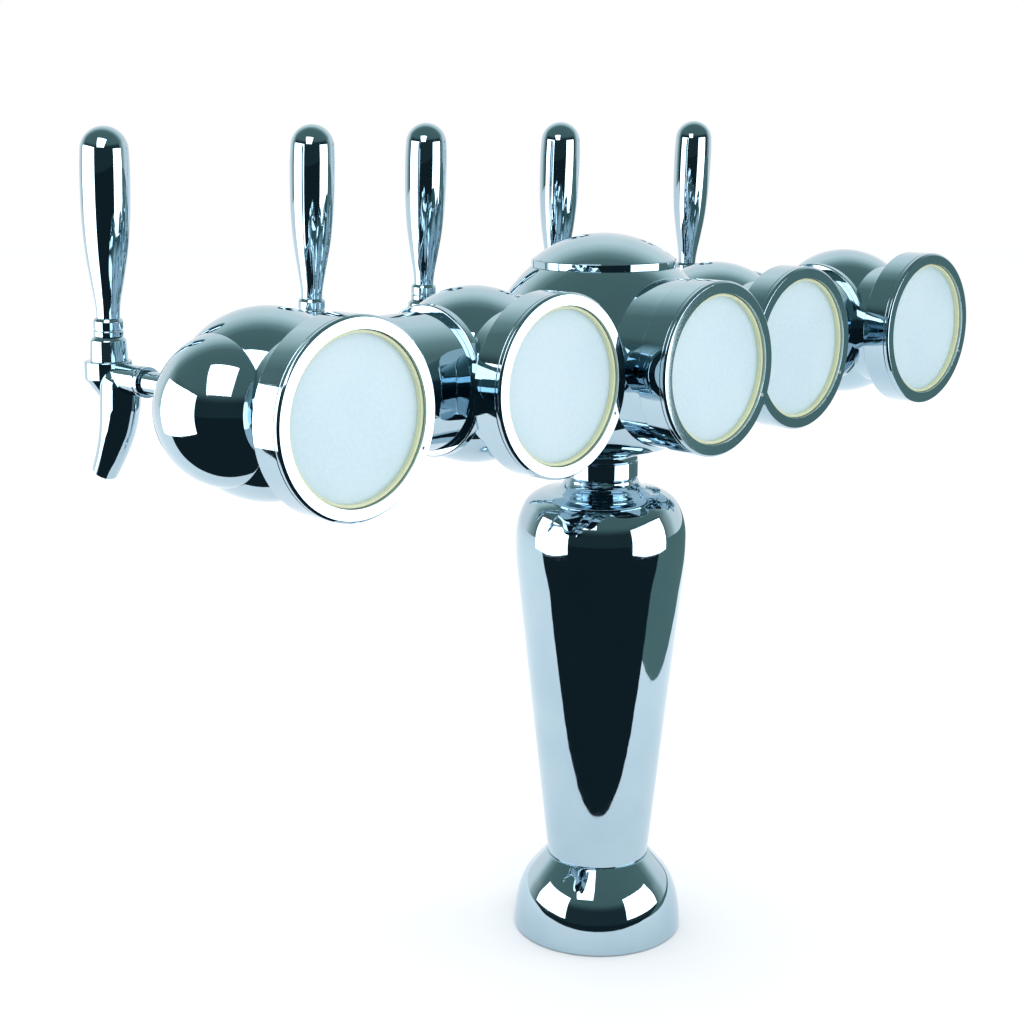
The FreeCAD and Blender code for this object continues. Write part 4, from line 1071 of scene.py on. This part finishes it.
def glow(name, tone, strength):
    """Plain emitter that reflects nothing itself."""
    material, _, surface, _ = blank(name)
    fill(surface, {"Base Color": (0, 0, 0, 1), "Specular IOR Level": 0.0,
                   "Emission Color": (*tone, 1), "Emission Strength": strength})
    return material


def stage_object(name, mesh, material):
    made = linked_object(name, mesh)
    made.data.materials.append(material)
    return made


def card(name, azimuth, elevation, reach, centre, width, height, material):
    """Flat card square to the given direction, seen only in the plating."""
    a, e = math.radians(azimuth), math.radians(elevation)
    x, y, z = centre
    mesh = bmesh.new()
    bmesh.ops.create_grid(mesh, x_segments=1, y_segments=1, size=0.5)
    placed(mesh, shift(x + reach * math.cos(a), y + reach * math.sin(a), z)
           @ Matrix.Rotation(a + math.pi / 2, 4, "Z")
           @ Matrix.Rotation(math.pi / 2 - e, 4, "X")
           @ Matrix.Diagonal((width, height, 1, 1)))
    made = stage_object(name, mesh, material)
    made.visible_camera = False
    made.visible_diffuse = False
    made.visible_shadow = False


def colour_ramp(tree, value, stops):
    """Colour for a value, through stops of value and colour."""
    made = tree.nodes.new("ShaderNodeValToRGB")
    band = made.color_ramp
    lowest, highest = stops[0][0], stops[-1][0]
    while len(band.elements) < len(stops):
        band.elements.new(1.0)
    for element, (at, tone) in zip(band.elements, stops):
        element.position = (at - lowest) / (highest - lowest)
        element.color = (*tone, 1)
    share = ramp(tree, value, lowest, highest)
    share.node.interpolation_type = "LINEAR"
    tree.links.new(share, made.inputs["Fac"])
    return made.outputs["Color"]


def studio_world(scene):
    """White to the lens, soft pale light on the floor, a dark room behind the camera."""
    world = bpy.data.worlds.new("studio")
    scene.world = world
    world.use_nodes = True
    tree = world.node_tree
    backdrop = tree.nodes["Background"]
    way = tree.nodes.new("ShaderNodeTexCoord").outputs["Generated"]
    toward = tree.nodes.new("ShaderNodeVectorMath")
    toward.operation = "DOT_PRODUCT"
    a = math.radians(CAMERA_SIDE)
    toward.inputs[1].default_value = (math.cos(a), math.sin(a), 0)
    tree.links.new(way, toward.inputs[0])
    split = tree.nodes.new("ShaderNodeSeparateXYZ")
    tree.links.new(way, split.inputs[0])
    room = colour_ramp(tree, toward.outputs["Value"], HORIZON)
    above = colour_ramp(tree, toward.outputs["Value"], SKY)
    room = mixed(tree, ramp(tree, split.outputs["Z"], SKY_FROM, SKY_FULL), room, above)
    path = tree.nodes.new("ShaderNodeLightPath")
    tone = mixed(tree, path.outputs["Is Glossy Ray"], WORLD_LIGHT, room)
    tone = mixed(tree, path.outputs["Is Camera Ray"], tone, WHITE)
    tree.links.new(tone, backdrop.inputs["Color"])
    backdrop.inputs["Strength"].default_value = 1.0


def pale_floor():
    material, _, surface, _ = blank("pale_floor")
    fill(surface, {"Base Color": (*FLOOR_TONE, 1), "Roughness": 0.7, "Specular IOR Level": 0.0})
    disc = bmesh.new()
    bmesh.ops.create_circle(disc, cap_ends=True, segments=SMALL_TURN, radius=FLOOR_R)
    stage_object("floor", disc, material)


def set_camera(scene, setup):
    data = bpy.data.cameras.new("camera")
    data.lens = setup.lens
    data.sensor_width = SENSOR
    camera = bpy.data.objects.new("camera", data)
    scene.collection.objects.link(camera)
    camera.location = setup.eye
    camera.rotation_euler = (math.pi / 2 - setup.tilt, 0, -setup.heading)
    scene.camera = camera


def area_lamp(scene, name, spot, size, power):
    """Soft lamp aimed at the tower, without its own reflection in the plating."""
    data = bpy.data.lights.new(name, "AREA")
    data.size = size
    data.energy = power
    lamp = bpy.data.objects.new(name, data)
    scene.collection.objects.link(lamp)
    lamp.location = spot
    lamp.rotation_mode = "QUATERNION"
    lamp.rotation_quaternion = (LAMP_AIM - Vector(spot)).to_track_quat("-Z", "Y")
    lamp.visible_glossy = False


class TOWER_OT_stage(bpy.types.Operator):
    """Set the pale floor, the studio light, the softboxes and the camera"""
    bl_idname = "tower.stage"
    bl_label = "Stage"

    def execute(self, context):
        scene = context.scene
        setup = scene.tower_stage
        scene.view_settings.view_transform = "Standard"
        pale_floor()
        studio_world(scene)
        panel = glow("softbox", WHITE, setup.box_power)
        for name, place in SOFTBOXES.items():
            card(name, *place, panel)
        for name, (side, near, z, width, finish, tone) in FLAGS.items():
            card(name, side, 90, near + FLAG_DEPTH / 2, (0, 0, z), width, FLAG_DEPTH,
                 glow(finish, tone, 1.0))
        set_camera(scene, setup)
        for name, lamp in LAMPS.items():
            area_lamp(scene, name, *lamp)
        return {"FINISHED"}


STEPS = (TOWER_OT_materials, TOWER_OT_stage, TOWER_OT_carried, TOWER_OT_foot,
         TOWER_OT_column, TOWER_OT_centre, TOWER_OT_bar, TOWER_OT_badges, TOWER_OT_taps,
         TOWER_OT_levers)


class TOWER_PT_panel(bpy.types.Panel):
    """Sidebar panel with a button for every step"""
    bl_label = "Tap Tower"
    bl_idname = "TOWER_PT_panel"
    bl_space_type = "VIEW_3D"
    bl_region_type = "UI"
    bl_category = "Tap Tower"

    def draw(self, context):
        for step in STEPS:
            self.layout.operator(step.bl_idname)
        for group in (sizes(), finishes(), context.scene.tower_stage):
            for key in group.__annotations__:
                self.layout.prop(group, key)


CLASSES = (TowerSizes, TowerFinishes, TowerStage, *STEPS, TOWER_PT_panel)


def register():
    for item in CLASSES:
        bpy.utils.register_class(item)
    bpy.types.Scene.tower_sizes = bpy.props.PointerProperty(type=TowerSizes)
    bpy.types.Scene.tower_finishes = bpy.props.PointerProperty(type=TowerFinishes)
    bpy.types.Scene.tower_stage = bpy.props.PointerProperty(type=TowerStage)


def unregister():
    del bpy.types.Scene.tower_stage
    del bpy.types.Scene.tower_finishes
    del bpy.types.Scene.tower_sizes
    for item in reversed(CLASSES):
        bpy.utils.unregister_class(item)


def main():
    register()
    for step in STEPS:
        family, action = step.bl_idname.split(".")
        getattr(getattr(bpy.ops, family), action)()


if __name__ == "__main__":
    main()
